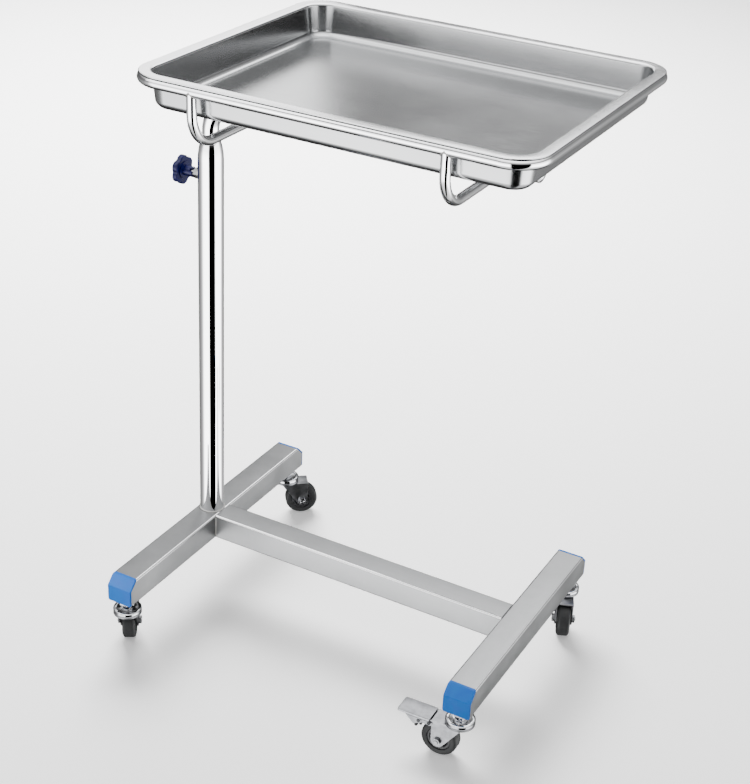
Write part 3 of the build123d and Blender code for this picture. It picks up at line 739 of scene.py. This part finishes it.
@dataclass
class Workshop:
    """The recipes, built once, and the placing of what they make."""

    polar: PolarArray = field(default_factory=PolarArray)
    ripple: WeldRipple = field(default_factory=WeldRipple)
    thread: ScrewThread = field(default_factory=ScrewThread)

    def weld(
        self, name: str, path: Sequence[Vector], closed: bool, bead_mm: float, body: str, slot: str = ""
    ) -> None:
        """Lay a weld bead along a path.

        Args:
            name: The bead's name.
            path: Its points, in millimetres.
            closed: Whether it runs all the way round.
            bead_mm: The radius of each drop.
            body: The body that it rides on.
            slot: The record slot of the pieces that it joins, if not the base's. Not used.
        """
        curve = bpy.data.curves.new(name + "_path", "CURVE")
        curve.dimensions = "3D"
        spline = curve.splines.new("POLY")
        spline.points.add(len(path) - 1)
        for point, place in zip(spline.points, path):
            point.co = (*(place * MM), 1.0)
        spline.use_cyclic_u = closed
        values = {"Pitch": bead_mm * MM * 0.8, "Bead": bead_mm * MM}
        bead = self.ripple.make(link(name + "_path", curve), name, values)
        settle(bead, Palette.weld, body)

    def wind(
        self, name: str, centre: Vector, axis: Vector, radius: float, length: float, pitch: float, body: str
    ) -> None:
        """Wind a thread on a shank.

        Args:
            name: The thread's name.
            centre: Where it starts, in millimetres.
            axis: The way it runs.
            radius: The radius of its crest less one ridge.
            length: Its length.
            pitch: The distance from crest to crest.
            body: The body that it rides on.
        """
        start = link(name + "_start", bpy.data.meshes.new(name + "_start"))
        ridge = pitch * 0.3
        values = {
            "Turns": length / pitch,
            "Radius": (radius - ridge) * MM,
            "Length": length * MM,
            "Ridge": ridge * MM,
        }
        made = self.thread.make(start, name, values)
        settle(place(made, centre, axis), Palette.hardware, body)


# The trolley's assemblies


def box_of(node: str) -> tuple[Vector, Vector]:
    """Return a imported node's lowest and highest corner in millimetres."""
    low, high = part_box(node)
    return low / MM, high / MM


def foot_of(node: str) -> Vector:
    """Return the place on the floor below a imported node's middle, in millimetres."""
    low, high = box_of(node)
    return Vector(((low.x + high.x) / 2, (low.y + high.y) / 2, 0))


COLUMN = foot_of("column_tube")


@dataclass
class Base:
    """The legs, the beam, their end caps and the welds between them."""

    shop: Workshop
    bead: float = 1.04
    bead_proud: float = 0.4
    weld_end: float = 4.0
    # A face whose normal is turned less than this towards an axis is one of a tube's corners, which take the
    # painted highlight
    flat_normal: float = 0.97

    def build(self) -> None:
        """Dress the base."""
        tubes = {"column_leg": Palette.square_y, "free_leg": Palette.square_y, "cross_beam": Palette.square_x}
        for node, finish in tubes.items():
            tube = settle_copy(node, node + "_tube", finish, Body.FRAME)
            # The polished column isn't given the far leg to mirror, which would smudge its stripes
            tube.visible_glossy = node != "free_leg"
            # Each tube's rounded corners get the lighter corner finish, a painted highlight
            second_finish(tube, Palette.edge, lambda face: max(map(abs, face.normal)) < self.flat_normal)
        for leg in ("column_leg", "free_leg"):
            for end in ("front", "rear"):
                node = f"cap_{leg}_{end}"
                settle_copy(node, node + "_moulding", Palette.cap, Body.FRAME)
        settle_copy("stem_nuts", "stem_nuts_plated", Palette.hardware, Body.FRAME, 0.4)
        low, high = box_of("cross_beam")
        for leg, x in (("column", low.x + self.bead_proud), ("free", high.x - self.bead_proud)):
            for side, y in (("front", low.y), ("rear", high.y)):
                path = [Vector((x, y, low.z + self.weld_end)), Vector((x, y, high.z - self.weld_end))]
                self.shop.weld(f"beam_weld_{leg}_{side}", path, False, self.bead, Body.FRAME)


@dataclass
class Column:
    """The polished column with its swaged neck, and what sits inside and on it."""

    shop: Workshop
    radius: float = 17.25
    wall: float = 1.5
    shoulder: float = 650.0
    top: float = 680.0
    neck: float = 12.2
    neck_wall: float = 1.05
    neck_ease: float = 0.3
    clamp: float = 627.5
    hole: float = 4.3
    bead: float = 1.3
    bead_proud: float = 0.4

    def build(self) -> None:
        """Dress the column."""
        foot = box_of("column_tube")[0].z
        profile = [(self.radius - self.wall, foot), (self.radius, foot)]
        profile += self.swage(self.radius, self.neck)
        profile.append((self.neck - self.neck_ease, self.top))
        profile.append((self.neck - self.neck_wall + self.neck_ease, self.top))
        profile += reversed(self.swage(self.radius - self.wall, self.neck - self.neck_wall))
        tube = lathe("column_polished", profile, COLUMN, UP, 96)
        ends = [COLUMN + UP * self.clamp - RIGHT * x for x in (self.radius + 2, self.radius / 2)]
        cut(tube, [circle_points(end, REAR, UP, self.hole, 32) for end in ends])
        settle(tube, Palette.tube, Body.FRAME, ["column_tube"])
        settle_copy("column_guide_bush", "column_bush_moulding", Palette.guide, Body.FRAME)
        settle_copy("clamp_weld_nut", "clamp_nut_welded", Palette.hardware, Body.FRAME, 0.4)
        middle = COLUMN + UP * (foot + self.bead_proud)
        ring = circle_points(middle, RIGHT, REAR, self.radius + self.bead_proud, 96)
        self.shop.weld("column_foot_weld", ring, True, self.bead, Body.FRAME)

    def swage(self, low_radius: float, high_radius: float) -> list[Pair]:
        """Return the arc that leaves the shoulder upright and leans in to the neck.

        Args:
            low_radius: The radius at the shoulder.
            high_radius: The radius at the top.

        Returns:
            Points as radius and height, from the shoulder up.
        """
        run = self.top - self.shoulder
        inward = low_radius - high_radius
        arc = (run**2 + inward**2) / (2 * inward)
        return arc_points((low_radius - arc, self.shoulder), arc, 0, math.degrees(math.asin(run / arc)), 12)


@dataclass
class Lift:
    """The bent post, its plug and guide, the two U bars and the ring."""

    shop: Workshop
    post_radius: float = 11.0
    elbow: float = 42.0
    arm_height: float = 733.0
    arm_length: float = 460.0
    bar_radius: float = 6.0
    bar_bend: float = 41.73
    ring_radius: float = 6.5
    ring_corner: float = 38.2
    bead: float = 1.1
    # The ring's welds stand this much outside the rods
    swell: float = 1.02
    # Points in each weld on the arm, the step between them and how far they stand out
    weld_points: int = 7
    weld_step: float = 0.8
    weld_proud: float = 0.4
    # Where such a weld starts, as a share of the post's radius out and of the bar's radius beside it
    weld_start: Pair = (0.2, 0.55)

    def build(self) -> None:
        """Dress the lift."""
        bottom = box_of("lift_post")[0].z
        bend = COLUMN + UP * self.arm_height
        corners = [COLUMN + UP * bottom, bend, bend + RIGHT * self.arm_length]
        post = pipe("lift_post_polished", corners, self.elbow, self.post_radius, steps=24, segments=64)
        settle(post, Palette.tube, Body.LIFT, ["lift_post"])
        settle_copy("arm_end_plug", "arm_plug_moulding", Palette.tube, Body.LIFT)
        settle_copy("post_guide", "post_guide_moulding", Palette.guide, Body.LIFT)
        low, high = box_of("tray_ring")
        level, r = (low.z + high.z) / 2, self.ring_radius
        near, far = (low.x + r, low.y + r), (high.x - r, high.y - r)
        turns = ((far[0], near[1]), far, (near[0], far[1]), near)
        corners = [Vector((x, y, level)) for x, y in turns]
        ring = pipe("tray_ring_polished", corners, self.ring_corner, r, closed=True)
        settle(ring, Palette.rod, Body.LIFT, ["tray_ring"])
        for side in ("column_side", "free_side"):
            self.bar(side, level)

    def bar(self, side: str, level: float) -> None:
        """Bend one U bar and weld it to the ring and the arm.

        Args:
            side: Which of the two bars.
            level: The height of the ring's centre line.
        """
        node = "cradle_bar_" + side
        low, high = box_of(node)
        r, middle = self.bar_radius, COLUMN.y
        x = (low.x + high.x) / 2
        front, rear, run = low.y + r, high.y - r, low.z + r
        corners = [Vector((x, y, z)) for y, z in ((front, level), (front, run), (rear, run), (rear, level))]
        rod = pipe(node + "_polished", corners, self.bar_bend, r)
        settle(rod, Palette.rod, Body.LIFT, [node])
        for end, y in (("front", front), ("rear", rear)):
            path = self.joint(Vector((x, y, level)))
            self.shop.weld(f"ring_weld_{side}_{end}", path, True, self.bead, Body.LIFT, "cradle_rod")
        for end, way in (("front", -1), ("rear", 1)):
            path = []
            for k in range(self.weld_points):
                out = self.post_radius * self.weld_start[0] + k * self.weld_step
                height = self.arm_height + math.sqrt(self.post_radius**2 - out**2) + self.weld_proud
                path.append(Vector((x + r * self.weld_start[1], middle + way * out, height)))
            self.shop.weld(f"arm_weld_{side}_{end}", path, False, self.bead, Body.LIFT, "cradle_rod")

    def joint(self, centre: Vector) -> Row:
        """Return the curve where a bar's upright end meets the ring's underside.

        Args:
            centre: The crossing of the two centre lines.

        Returns:
            The points of the curve.
        """
        path = []
        for x, across in arc_points((0, 0), self.bar_radius, 0, 352.5, 47):
            drop = math.sqrt(max(self.bar_radius**2 - across**2, 0.0))
            path.append(centre + Vector((x * self.swell, across, -drop * self.swell)))
        return path


@dataclass
class Tray:
    """The deep-drawn pan with its rolled hem, flat rim, drafted walls and rounded floor."""

    corner: float = 43.0
    rim: float = 16.0
    sheet: float = 1.0
    draft: float = 6.0
    floor_round: float = 9.5
    lip_round: float = 3.0
    hem_width: float = 2.3
    hem_height: float = 1.7
    # How far a face's normal has to point up or down to take the rim's painted highlight or painted shade
    level_normal: float = 0.7
    pan: tuple[Vector, Vector] = field(default_factory=lambda: box_of("tray_pan"))

    def outline(self, inset: float, height: float) -> Row:
        """Return the rim's outline, inset, at a height.

        Args:
            inset: The distance in from the outer edge.
            height: The height of the outline.

        Returns:
            A closed loop of points.
        """
        low, high = self.pan
        radius = max(self.corner - inset, 0.5)
        middle = (low + high) / 2
        dx, dy = (high.x - low.x) / 2 - inset - radius, (high.y - low.y) / 2 - inset - radius
        row = []
        for quarter, (sx, sy) in enumerate(((1, 1), (-1, 1), (-1, -1), (1, -1))):
            centre = (middle.x + sx * dx, middle.y + sy * dy)
            arc = arc_points(centre, radius, 90 * quarter, 90 * (quarter + 1), 20)
            row += [Vector((x, y, height)) for x, y in arc]
        return row

    def wall(self, lip: float, floor: float, inset: float, top: float, bottom: float) -> list[Pair]:
        """Return a side of the wall: a bend from the rim, the draft and a bend to the floor.

        Args:
            lip: The radius of the bend at the rim.
            floor: The radius of the bend at the floor.
            inset: Where the wall's plane meets the rim's plane.
            top: The height of the rim's plane.
            bottom: The height of the floor's plane.

        Returns:
            Points as inset and height, from the rim down.
        """
        turn = 90 - self.draft
        reach = math.tan(math.radians(turn / 2))
        foot = inset + (top - bottom) * math.tan(math.radians(self.draft))
        points = arc_points((inset - lip * reach, top - lip), lip, 90, 90 - turn, 8)
        return points + arc_points((foot + floor * reach, bottom + floor), floor, 270 - turn, 270, 12)

    def build(self) -> None:
        """Press the pan."""
        bottom, top = (corner.z for corner in self.pan)
        sheet = self.sheet
        inner = self.wall(self.lip_round + sheet, self.floor_round, self.rim, top, bottom + sheet)
        outer = self.wall(self.lip_round, self.floor_round + sheet, self.rim - sheet, top - sheet, bottom)
        wide, high = self.hem_width / 2, self.hem_height / 2
        bead = [(wide + wide * x, top - high + high * y) for x, y in arc_points((0, 0), 1, 90, 270, 12)]
        bead.append((self.hem_width * 0.75, top - self.hem_height * 0.95))
        bead.append((self.hem_width, top - self.hem_height * 0.7))
        bead.append((self.hem_width, top - sheet))
        profile = list(reversed(inner)) + bead + outer
        pan = loft("tray_pan_drawn", [self.outline(inset, height) for inset, height in profile])
        settle(pan, Palette.tray, Body.TRAY, ["tray_pan"])
        under, flat = (top - 2 * self.hem_height) * MM, (top - self.hem_height) * MM
        steep = self.level_normal
        # The rim's downward faces take the dark painted shade
        second_finish(pan, Palette.underside, lambda face: face.normal.z < -steep and face.center.z > under)
        # The rim's upward faces take the bright painted highlight
        second_finish(pan, Palette.rim, lambda face: face.normal.z > steep and face.center.z > flat)


@dataclass
class Clamp:
    """The star knob, its threaded stud and the pad inside the column."""

    shop: Workshop
    height: float = 627.5

    def build(self) -> None:
        """Dress the clamp."""
        settle_copy("clamp_knob", "clamp_knob_moulding", Palette.knob, Body.KNOB, 0.5)
        settle_copy("clamp_screw", "clamp_stud_plated", Palette.hardware, Body.KNOB, 0.3)
        settle_copy("clamp_pad", "clamp_pad_moulding", Palette.guide, Body.PAD, 0.3)
        start = Vector((box_of("clamp_knob")[1].x, COLUMN.y, self.height))
        self.shop.wind("clamp_stud_thread", start, RIGHT, radius=4.0, length=2.4, pitch=0.8, body=Body.KNOB)


@dataclass
class Caster:
    """One swivel caster: stem and races, fork, balls, axle and wheel."""

    shop: Workshop
    corner: str
    turn_degrees: float
    trail: float = 24.5
    wheel_radius: float = 25.0
    wheel_width: float = 18.0
    tyre_depth: float = 9.0
    tyre_shoulder: float = 4.0
    tyre_ease: float = 0.6
    cheek_outside: float = 12.3
    nut: float = 4.0
    socket_radius: float = 2.6
    socket_depth: float = 1.8
    ball_radius: float = 1.75
    ball_circle: float = 13.5
    rib: Triple = (6.5, 1.4, 13.0)
    rib_circle: float = 10.3
    # Found from the above: the start of the node names, the ways and the places
    node: str = field(init=False)
    along: Vector = field(init=False)
    across: Vector = field(init=False)
    stem: Vector = field(init=False)
    centre: Vector = field(init=False)

    def __post_init__(self) -> None:
        """Find the way the wheel trails, the axle's way, the stem's foot and the wheel's middle."""
        turn = math.radians(self.turn_degrees)
        self.node = "caster_" + self.corner
        self.along = Vector((math.cos(turn), math.sin(turn), 0))
        self.across = self.along.cross(UP)
        self.stem = foot_of(self.node + "_upper_race")
        self.centre = self.stem + self.along * self.trail + UP * self.wheel_radius

    def build(self) -> None:
        """Dress the caster."""
        swivel, wheel = "swivel_" + self.corner, "wheel_" + self.corner
        name = self.node
        settle_copy(name + "_stem", name + "_stem_plated", Palette.race, Body.FRAME, 0.3)
        settle_copy(name + "_upper_race", name + "_race_pressing", Palette.race, Body.FRAME)
        settle_copy(name + "_fork", name + "_fork_pressing", Palette.zinc, swivel, 0.3)
        for part, bevel in (("axle", 0.35), ("axle_nut", 0.35), ("sleeve", 0.0)):
            piece = copy_node(f"{name}_{part}", f"{name}_{part}_plated", bevel)
            if part == "axle":
                self.socket(piece)
            settle(piece, Palette.hardware, swivel, [f"{name}_{part}"])
        self.balls(swivel)
        self.tyre(wheel)
        self.core(wheel)
        start = self.centre - self.across * (self.cheek_outside + self.nut)
        sizes = {"radius": 3.0, "length": 1.0, "pitch": 0.5}
        self.shop.wind(name + "_axle_thread", start, -self.across, body=swivel, **sizes)

    def socket(self, axle: Piece) -> None:
        """Cut the hexagon socket into the axle's head.

        Args:
            axle: The axle, whose head is at the end away from its thread.
        """
        head = max((v.co / MM - self.centre).dot(self.across) for v in axle.data.vertices)
        middles = [self.centre + self.across * reach for reach in (head - self.socket_depth, head + 1.0)]
        cut(axle, [circle_points(middle, self.along, UP, self.socket_radius, 6) for middle in middles])

    def balls(self, body: str) -> None:
        """Set the ball row between the races.

        Args:
            body: The body that the row rides on.
        """
        node = self.node + "_balls"
        low, high = box_of(node)
        unit = bmesh.new()
        bmesh.ops.create_uvsphere(unit, u_segments=20, v_segments=12, radius=self.ball_radius * MM)
        bmesh.ops.translate(unit, verts=unit.verts, vec=RIGHT * self.ball_circle * MM)
        start = write_mesh(node + "_unit", unit, 180)
        row = self.shop.polar.make(start, node + "_row", {"Count": 8})
        centre = self.stem + UP * ((low.z + high.z) / 2)
        settle(place(row, centre, UP), Palette.ball, body, [node])

    def tyre(self, body: str) -> None:
        """Turn the tyre, with its rounded shoulders and the step where it meets the core.

        Args:
            body: The wheel's body.
        """
        half, edge, ease = self.wheel_width / 2, self.tyre_shoulder, self.tyre_ease
        inner = self.wheel_radius - self.tyre_depth
        arc = arc_points((self.wheel_radius - edge, half - edge), edge, 90, 0, 8)
        profile = [(inner, -half + ease), (inner + ease, -half)] + [(r, -w) for r, w in arc]
        profile += [(r, w) for r, w in reversed(arc)] + [(inner + ease, half), (inner, half - ease)]
        tyre = lathe(self.node + "_tyre_moulding", profile, self.centre, self.across, 72)
        settle(tyre, Palette.tyre, body, [self.node + "_tyre"])

    def core(self, body: str) -> None:
        """Dress the core and add the ribs of its web.

        Args:
            body: The wheel's body.
        """
        node = self.node + "_hub"
        settle_copy(node, node + "_core", Palette.hub, body, 0.4)
        unit = bmesh.new()
        bmesh.ops.create_cube(unit, size=1.0)
        bmesh.ops.scale(unit, verts=unit.verts, vec=Vector(self.rib) * MM)
        bmesh.ops.translate(unit, verts=unit.verts, vec=RIGHT * self.rib_circle * MM)
        start = write_mesh(node + "_rib", unit)
        ribs = self.shop.polar.make(start, node + "_ribs", {"Count": 6})
        settle(place(ribs, self.centre, self.across), Palette.hub, body)


@dataclass
class Brake:
    """The pedal, shoe and pins of the braked caster.

    Places in the pedal's side view are the reach from the stem's axis and the height.
    """

    caster: Caster
    node: str = "caster_free_front_brake"
    top: float = 55.5
    sheet: float = 1.5
    start: float = 36.8
    end: float = 82.0
    half_width: float = 14.1
    lip: float = 3.0
    fold: float = 1.1
    corner: float = 2.4
    skirt_sheet: float = 0.9
    groove: float = 1.2
    # The web's corners, as reach and depth below the top
    web: tuple[Pair, ...] = ((38.0, 1.6), (69.0, 1.6), (67.0, 6.0), (39.0, 6.0))
    web_sheet: float = 0.3
    skirt_ends: Pair = (39.5, 70.0)
    toe: Pair = (58.4, 42.6)
    toe_radius: float = 2.0
    rise: Pair = (48.5, 46.6)
    pivot: Pair = (37.0, 50.0)
    pivot_radius: float = 4.3
    shoe_pin: Pair = (51.5, 48.5)
    # The collar's radii, and how far it reaches behind and beyond the skirt's outside
    collar: Pair = (2.7, 3.9)
    collar_reach: Pair = (0.3, 0.8)
    cross_bar: Pair = (55.2, 39.6)
    # Half of the bar's profile, as radius and way across
    bar: tuple[Pair, ...] = ((0.0, 13.4), (1.9, 13.4), (2.2, 13.0))

    def point(self, reach: float, across: float, height: float) -> Vector:
        """Return a place in the frame from the reach, the way across and the height."""
        caster = self.caster
        return caster.stem + caster.along * reach + caster.across * across + UP * height

    def build(self) -> None:
        """Dress the brake."""
        settle(self.pedal(), Palette.zinc, Body.BRAKE, [self.node + "_pedal"])
        settle_copy(self.node + "_shoe", "brake_shoe_moulding", Palette.shoe, Body.BRAKE, 0.4)
        # The zinc pins take the dark finish, a painted shade
        settle_copy(self.node + "_pins", "brake_pins_blackened", Palette.pin, Body.BRAKE, 0.25)
        profile = [(r, -v) for r, v in self.bar] + list(reversed(self.bar))
        settle(self.round("brake_shoe_bar", self.cross_bar, profile), Palette.shoe, Body.BRAKE)

    def round(self, name: str, place: Pair, profile: list[Pair]) -> Piece:
        """Turn a profile of radius and way across about the line that crosses the pedal at a place."""
        centre = self.point(place[0], 0, place[1])
        return lathe(name, profile, centre, self.caster.across, 32, profile[0][0] > 0)

    def pedal(self) -> Piece:
        """Press the pedal: a plate with folded lips, two inset skirts and the pin collars.

        Returns:
            The pedal as one object.
        """
        near = [(self.start + 1 - x, 1 - y) for x, y in arc_points((0, 0), 1, 0, 90, 4)]
        corner = arc_points((0, 0), self.corner, 0, 90, 6)
        far = [(self.end - self.corner + y, self.corner - x) for x, y in corner]
        shells = [loft("brake_pedal_pressing", [self.section(*pair) for pair in near + far])]
        inside = self.half_width - self.sheet
        outside = inside + self.skirt_sheet
        web = [(reach, self.top - depth) for reach, depth in self.web]
        for side in (-1, 1):
            sheets = (("skirt", self.skirt(), outside), ("web", web, inside + self.web_sheet))
            for name, outline, out in sheets:
                rows = [[self.point(u, side * v, z) for u, z in outline] for v in (inside, out)]
                shells.append(loft("brake_" + name, rows))
            behind, beyond = self.collar_reach
            low, high = sorted((side * (outside - behind), side * (outside + beyond)))
            small, big = self.collar
            collar = [(small, low), (big, low), (big, high), (small, high)]
            shells.append(self.round("brake_collar", self.shoe_pin, collar))
        with bpy.context.temp_override(active_object=shells[0], selected_editable_objects=shells):
            bpy.ops.object.join()
        return shells[0]

    def section(self, reach: float, inset: float) -> Row:
        """Return the plate's section with its two folded lips.

        Args:
            reach: Where the section is cut.
            inset: How far the pedal's rounded corner draws its sides in.

        Returns:
            A closed loop of points.
        """
        half, top = self.half_width - inset, self.top
        inner = half - self.sheet
        arc = arc_points((half - self.fold, top - self.fold), self.fold, 0, 90, 4)
        points = [(-half, top - self.lip)] + [(-v, z) for v, z in arc] + list(reversed(arc))
        points += [(half, top - self.lip), (inner, top - self.lip), (inner, top - self.sheet)]
        points += [(-inner, top - self.sheet), (-inner, top - self.lip)]
        return [self.point(reach, v, z) for v, z in points]

    def skirt(self) -> list[Pair]:
        """Return the skirt's outline: a toe, a rise to the shoe pin and the pivot's ear.

        Returns:
            Points as reach and height.
        """
        level = self.top - self.lip - self.groove
        points = [(reach, level) for reach in self.skirt_ends]
        points += arc_points(self.toe, self.toe_radius, -38, -112, 8) + [self.rise]
        return points + arc_points(self.pivot, self.pivot_radius, -62, -200, 8)


# Studio


@dataclass
class Studio:
    """The pale floor, the lights and the camera."""

    camera_place: Triple = (857.575, -1622.3, 1368.5)
    yaw: float = -0.482
    pitch: float = 0.495
    roll: float = 0.052
    lens: float = 72.44
    # The level direction from the column to the photographer
    viewer: Triple = (0.686, -0.728, 0.0)
    # Brightness round the stage, from behind the trolley (0) to the photographer (1)
    boxes: tuple[Pair, ...] = (
        (0.0, 0.02), (0.3, 0.06), (0.45, 0.16), (0.6, 0.9), (0.75, 1.0), (0.935, 1.0), (0.95, 0.0), (1.0, 0.0)
    )
    # Brightness by height, from straight down (0) to straight up (1)
    sky: tuple[Pair, ...] = ((0.6, 0.02), (0.67, 0.035), (0.76, 0.09), (0.9, 0.4), (1.0, 0.6))
    # The heights between which the boxes give way to the sky
    share: tuple[Pair, ...] = ((0.56, 0.0), (0.68, 1.0))
    # How much of the boxes is left at each height, which darkens what looks steeply down
    window: tuple[Pair, ...] = ((0.0, 0.1), (0.17, 0.28), (0.23, 0.9), (0.4, 1.0), (0.5, 0.6))
    # Soft light on matt surfaces by height, which leaves upright faces darker than level ones
    ambient: tuple[Pair, ...] = ((0.0, 0.25), (0.5, 0.4), (0.72, 1.0), (1.0, 1.0))
    box_light: float = 9.0
    soft_light: float = 0.55
    backdrop_light: float = 3.0
    floor_glow: float = 0.32
    # Name, place, target, size of side and power of each lamp, and what it lights if not everything
    lamps: tuple[tuple[str, Triple, Triple, float, float, str], ...] = (
        ("key", (-1.5, -1.2, 2.2), (0.0, 0.0, 0.3), 1.4, 16, ""),
        ("back", (-0.6, 2.6, 2.8), (0.0, 0.0, 0.3), 1.6, 34, ""),
        ("floor_wash", (-1.6, 1.9, 2.2), (-1.1, 1.4, 0.0), 2.0, 420, "floor"),
        ("tray_card", (-1.9, 2.3, 1.75), (-0.2, -0.1, 0.78), 0.9, 10, "tray_pan_"),
        ("cap_fill", (-0.75, -0.75, 0.55), (-0.25, -0.25, 0.1), 0.4, 5, "cap_"),
    )

    def build(self) -> None:
        """Set the stage."""
        self.floor()
        self.world()
        for lamp in self.lamps:
            self.lamp(*lamp)
        self.camera()

    def floor(self) -> None:
        """Lay the pale floor, which glows a little so that its shadows stay soft."""
        material = bpy.data.materials.new("matt_pale_floor")
        material.use_nodes = True
        shader = material.node_tree.nodes["Principled BSDF"]
        paint = {"Base Color": linear("#E8E8E8"), "Roughness": 0.9}
        glow = {"Emission Color": linear("#FFFFFF"), "Emission Strength": self.floor_glow}
        for key, value in {**paint, **glow}.items():
            shader.inputs[key].default_value = value
        mesh = bmesh.new()
        bmesh.ops.create_grid(mesh, x_segments=1, y_segments=1, size=12)
        floor = write_mesh("floor", mesh)
        floor.data.materials.append(material)
        floor.visible_glossy = False
        floor.visible_diffuse = False

    @staticmethod
    def ramp(tree: Tree, source: Node, stops: Sequence[Pair]) -> Node:
        """Add a grey ramp.

        Args:
            tree: The tree that it joins.
            source: The range node that drives it.
            stops: Positions and brightnesses, from 0 to 1.

        Returns:
            The ramp.
        """
        made = add_node(tree, "ShaderNodeValToRGB", {"Fac": (source, "Result")})
        for i, (position, value) in enumerate(stops):
            element = made.color_ramp.elements[i] if i < 2 else made.color_ramp.elements.new(position)
            element.position = position
            element.color = (value, value, value, 1.0)
        return made

    def world(self) -> None:
        """Wrap the stage in light boxes, with a dark gap where the photographer stands.

        Polished tubes mirror the boxes and the gap. Matt surfaces get an even soft light.
        """
        world = bpy.data.worlds.new("studio")
        bpy.context.scene.world = world
        world.use_nodes = True
        tree = world.node_tree
        tree.nodes.clear()
        way = add_node(tree, "ShaderNodeTexCoord")
        flat = {0: (way, "Generated"), 1: (1.0, 1.0, 0.0)}
        flat = add_node(tree, "ShaderNodeVectorMath", flat, operation="MULTIPLY")
        flat = add_node(tree, "ShaderNodeVectorMath", {0: (flat, "Vector")}, operation="NORMALIZE")
        facing = {0: (flat, "Vector"), 1: self.viewer}
        facing = add_node(tree, "ShaderNodeVectorMath", facing, operation="DOT_PRODUCT")
        parts = add_node(tree, "ShaderNodeSeparateXYZ", {"Vector": (way, "Generated")})
        ends = {"From Min": -1.0, "From Max": 1.0, "To Min": 0.0, "To Max": 1.0}
        facing = add_node(tree, "ShaderNodeMapRange", {"Value": (facing, "Value"), **ends})
        height = add_node(tree, "ShaderNodeMapRange", {"Value": (parts, "Z"), **ends})
        round_about = self.ramp(tree, facing, self.boxes)
        overhead = self.ramp(tree, height, self.sky)
        share = self.ramp(tree, height, self.share)
        window = self.ramp(tree, height, self.window)
        around = self.ramp(tree, height, self.ambient)
        dimmed = {0: 1.0, 6: (round_about, "Color"), 7: (window, "Color")}
        dimmed = add_node(tree, "ShaderNodeMix", dimmed, data_type="RGBA", blend_type="MULTIPLY")
        mirrored = {0: (share, "Color"), 6: (dimmed, 2), 7: (overhead, "Color")}
        mirrored = add_node(tree, "ShaderNodeMix", mirrored, data_type="RGBA")
        boxes, soft, seen = (
            add_node(tree, "ShaderNodeBackground", {"Color": colour, "Strength": strength})
            for colour, strength in (
                ((mirrored, 2), self.box_light),
                ((around, "Color"), self.soft_light),
                (linear("#F4F5F6"), self.backdrop_light),
            )
        )
        path = add_node(tree, "ShaderNodeLightPath")
        both = {0: (path, "Is Glossy Ray"), 1: (soft, "Background"), 2: (boxes, "Background")}
        both = add_node(tree, "ShaderNodeMixShader", both)
        last = {0: (path, "Is Camera Ray"), 1: (both, "Shader"), 2: (seen, "Background")}
        last = add_node(tree, "ShaderNodeMixShader", last)
        add_node(tree, "ShaderNodeOutputWorld", {"Surface": (last, "Shader")})

    @staticmethod
    def lamp(name: str, place: Triple, target: Triple, size: float, power: float, lights: str) -> None:
        """Hang one soft box.

        Args:
            name: The lamp's name.
            place: Where it hangs, in metres.
            target: What it points at.
            size: The side of its square.
            power: Its power in watts.
            lights: The start of the names of what it lights, or nothing for everything.
        """
        data = bpy.data.lights.new(name, "AREA")
        data.shape = "SQUARE"
        data.size = size
        data.energy = power
        lamp = link(name, data)
        lamp.location = place
        lamp.rotation_euler = (Vector(target) - Vector(place)).to_track_quat("-Z", "Y").to_euler()
        if lights:
            lit = bpy.data.collections.new(name + "_receivers")
            for piece in bpy.context.scene.objects:
                if piece.name.startswith(lights) and piece != lamp:
                    lit.objects.link(piece)
            lamp.light_linking.receiver_collection = lit

    def camera(self) -> None:
        """Put the camera where the photograph was taken from."""
        data = bpy.data.cameras.new("camera")
        data.lens = self.lens
        data.sensor_width = 36.0
        data.clip_end = 100.0
        camera = link("camera", data)
        level = Matrix.Rotation(-self.yaw, 4, "Z") @ Matrix.Rotation(math.pi / 2 - self.pitch, 4, "X")
        place = Matrix.Translation(Vector(self.camera_place) * MM)
        camera.matrix_world = place @ level @ Matrix.Rotation(self.roll, 4, "Z")
        bpy.context.scene.camera = camera


def main() -> None:
    """Build every assembly in order."""
    logging.basicConfig(level=logging.WARNING)
    shop = Workshop()
    braked = Caster(shop, "free_front", 182.0)
    parts: list[Base | Column | Lift | Tray | Clamp | Caster | Brake] = [
        Base(shop),
        Column(shop),
        Lift(shop),
        Tray(),
        Clamp(shop),
        Caster(shop, "column_front", 121.0),
        Caster(shop, "column_rear", 38.0),
        braked,
        Caster(shop, "free_rear", -66.0),
        Brake(braked),
    ]
    for part in parts:
        part.build()
        LOG.info("built %s", type(part).__name__)
    Studio().build()


if __name__ == "__main__":
    main()
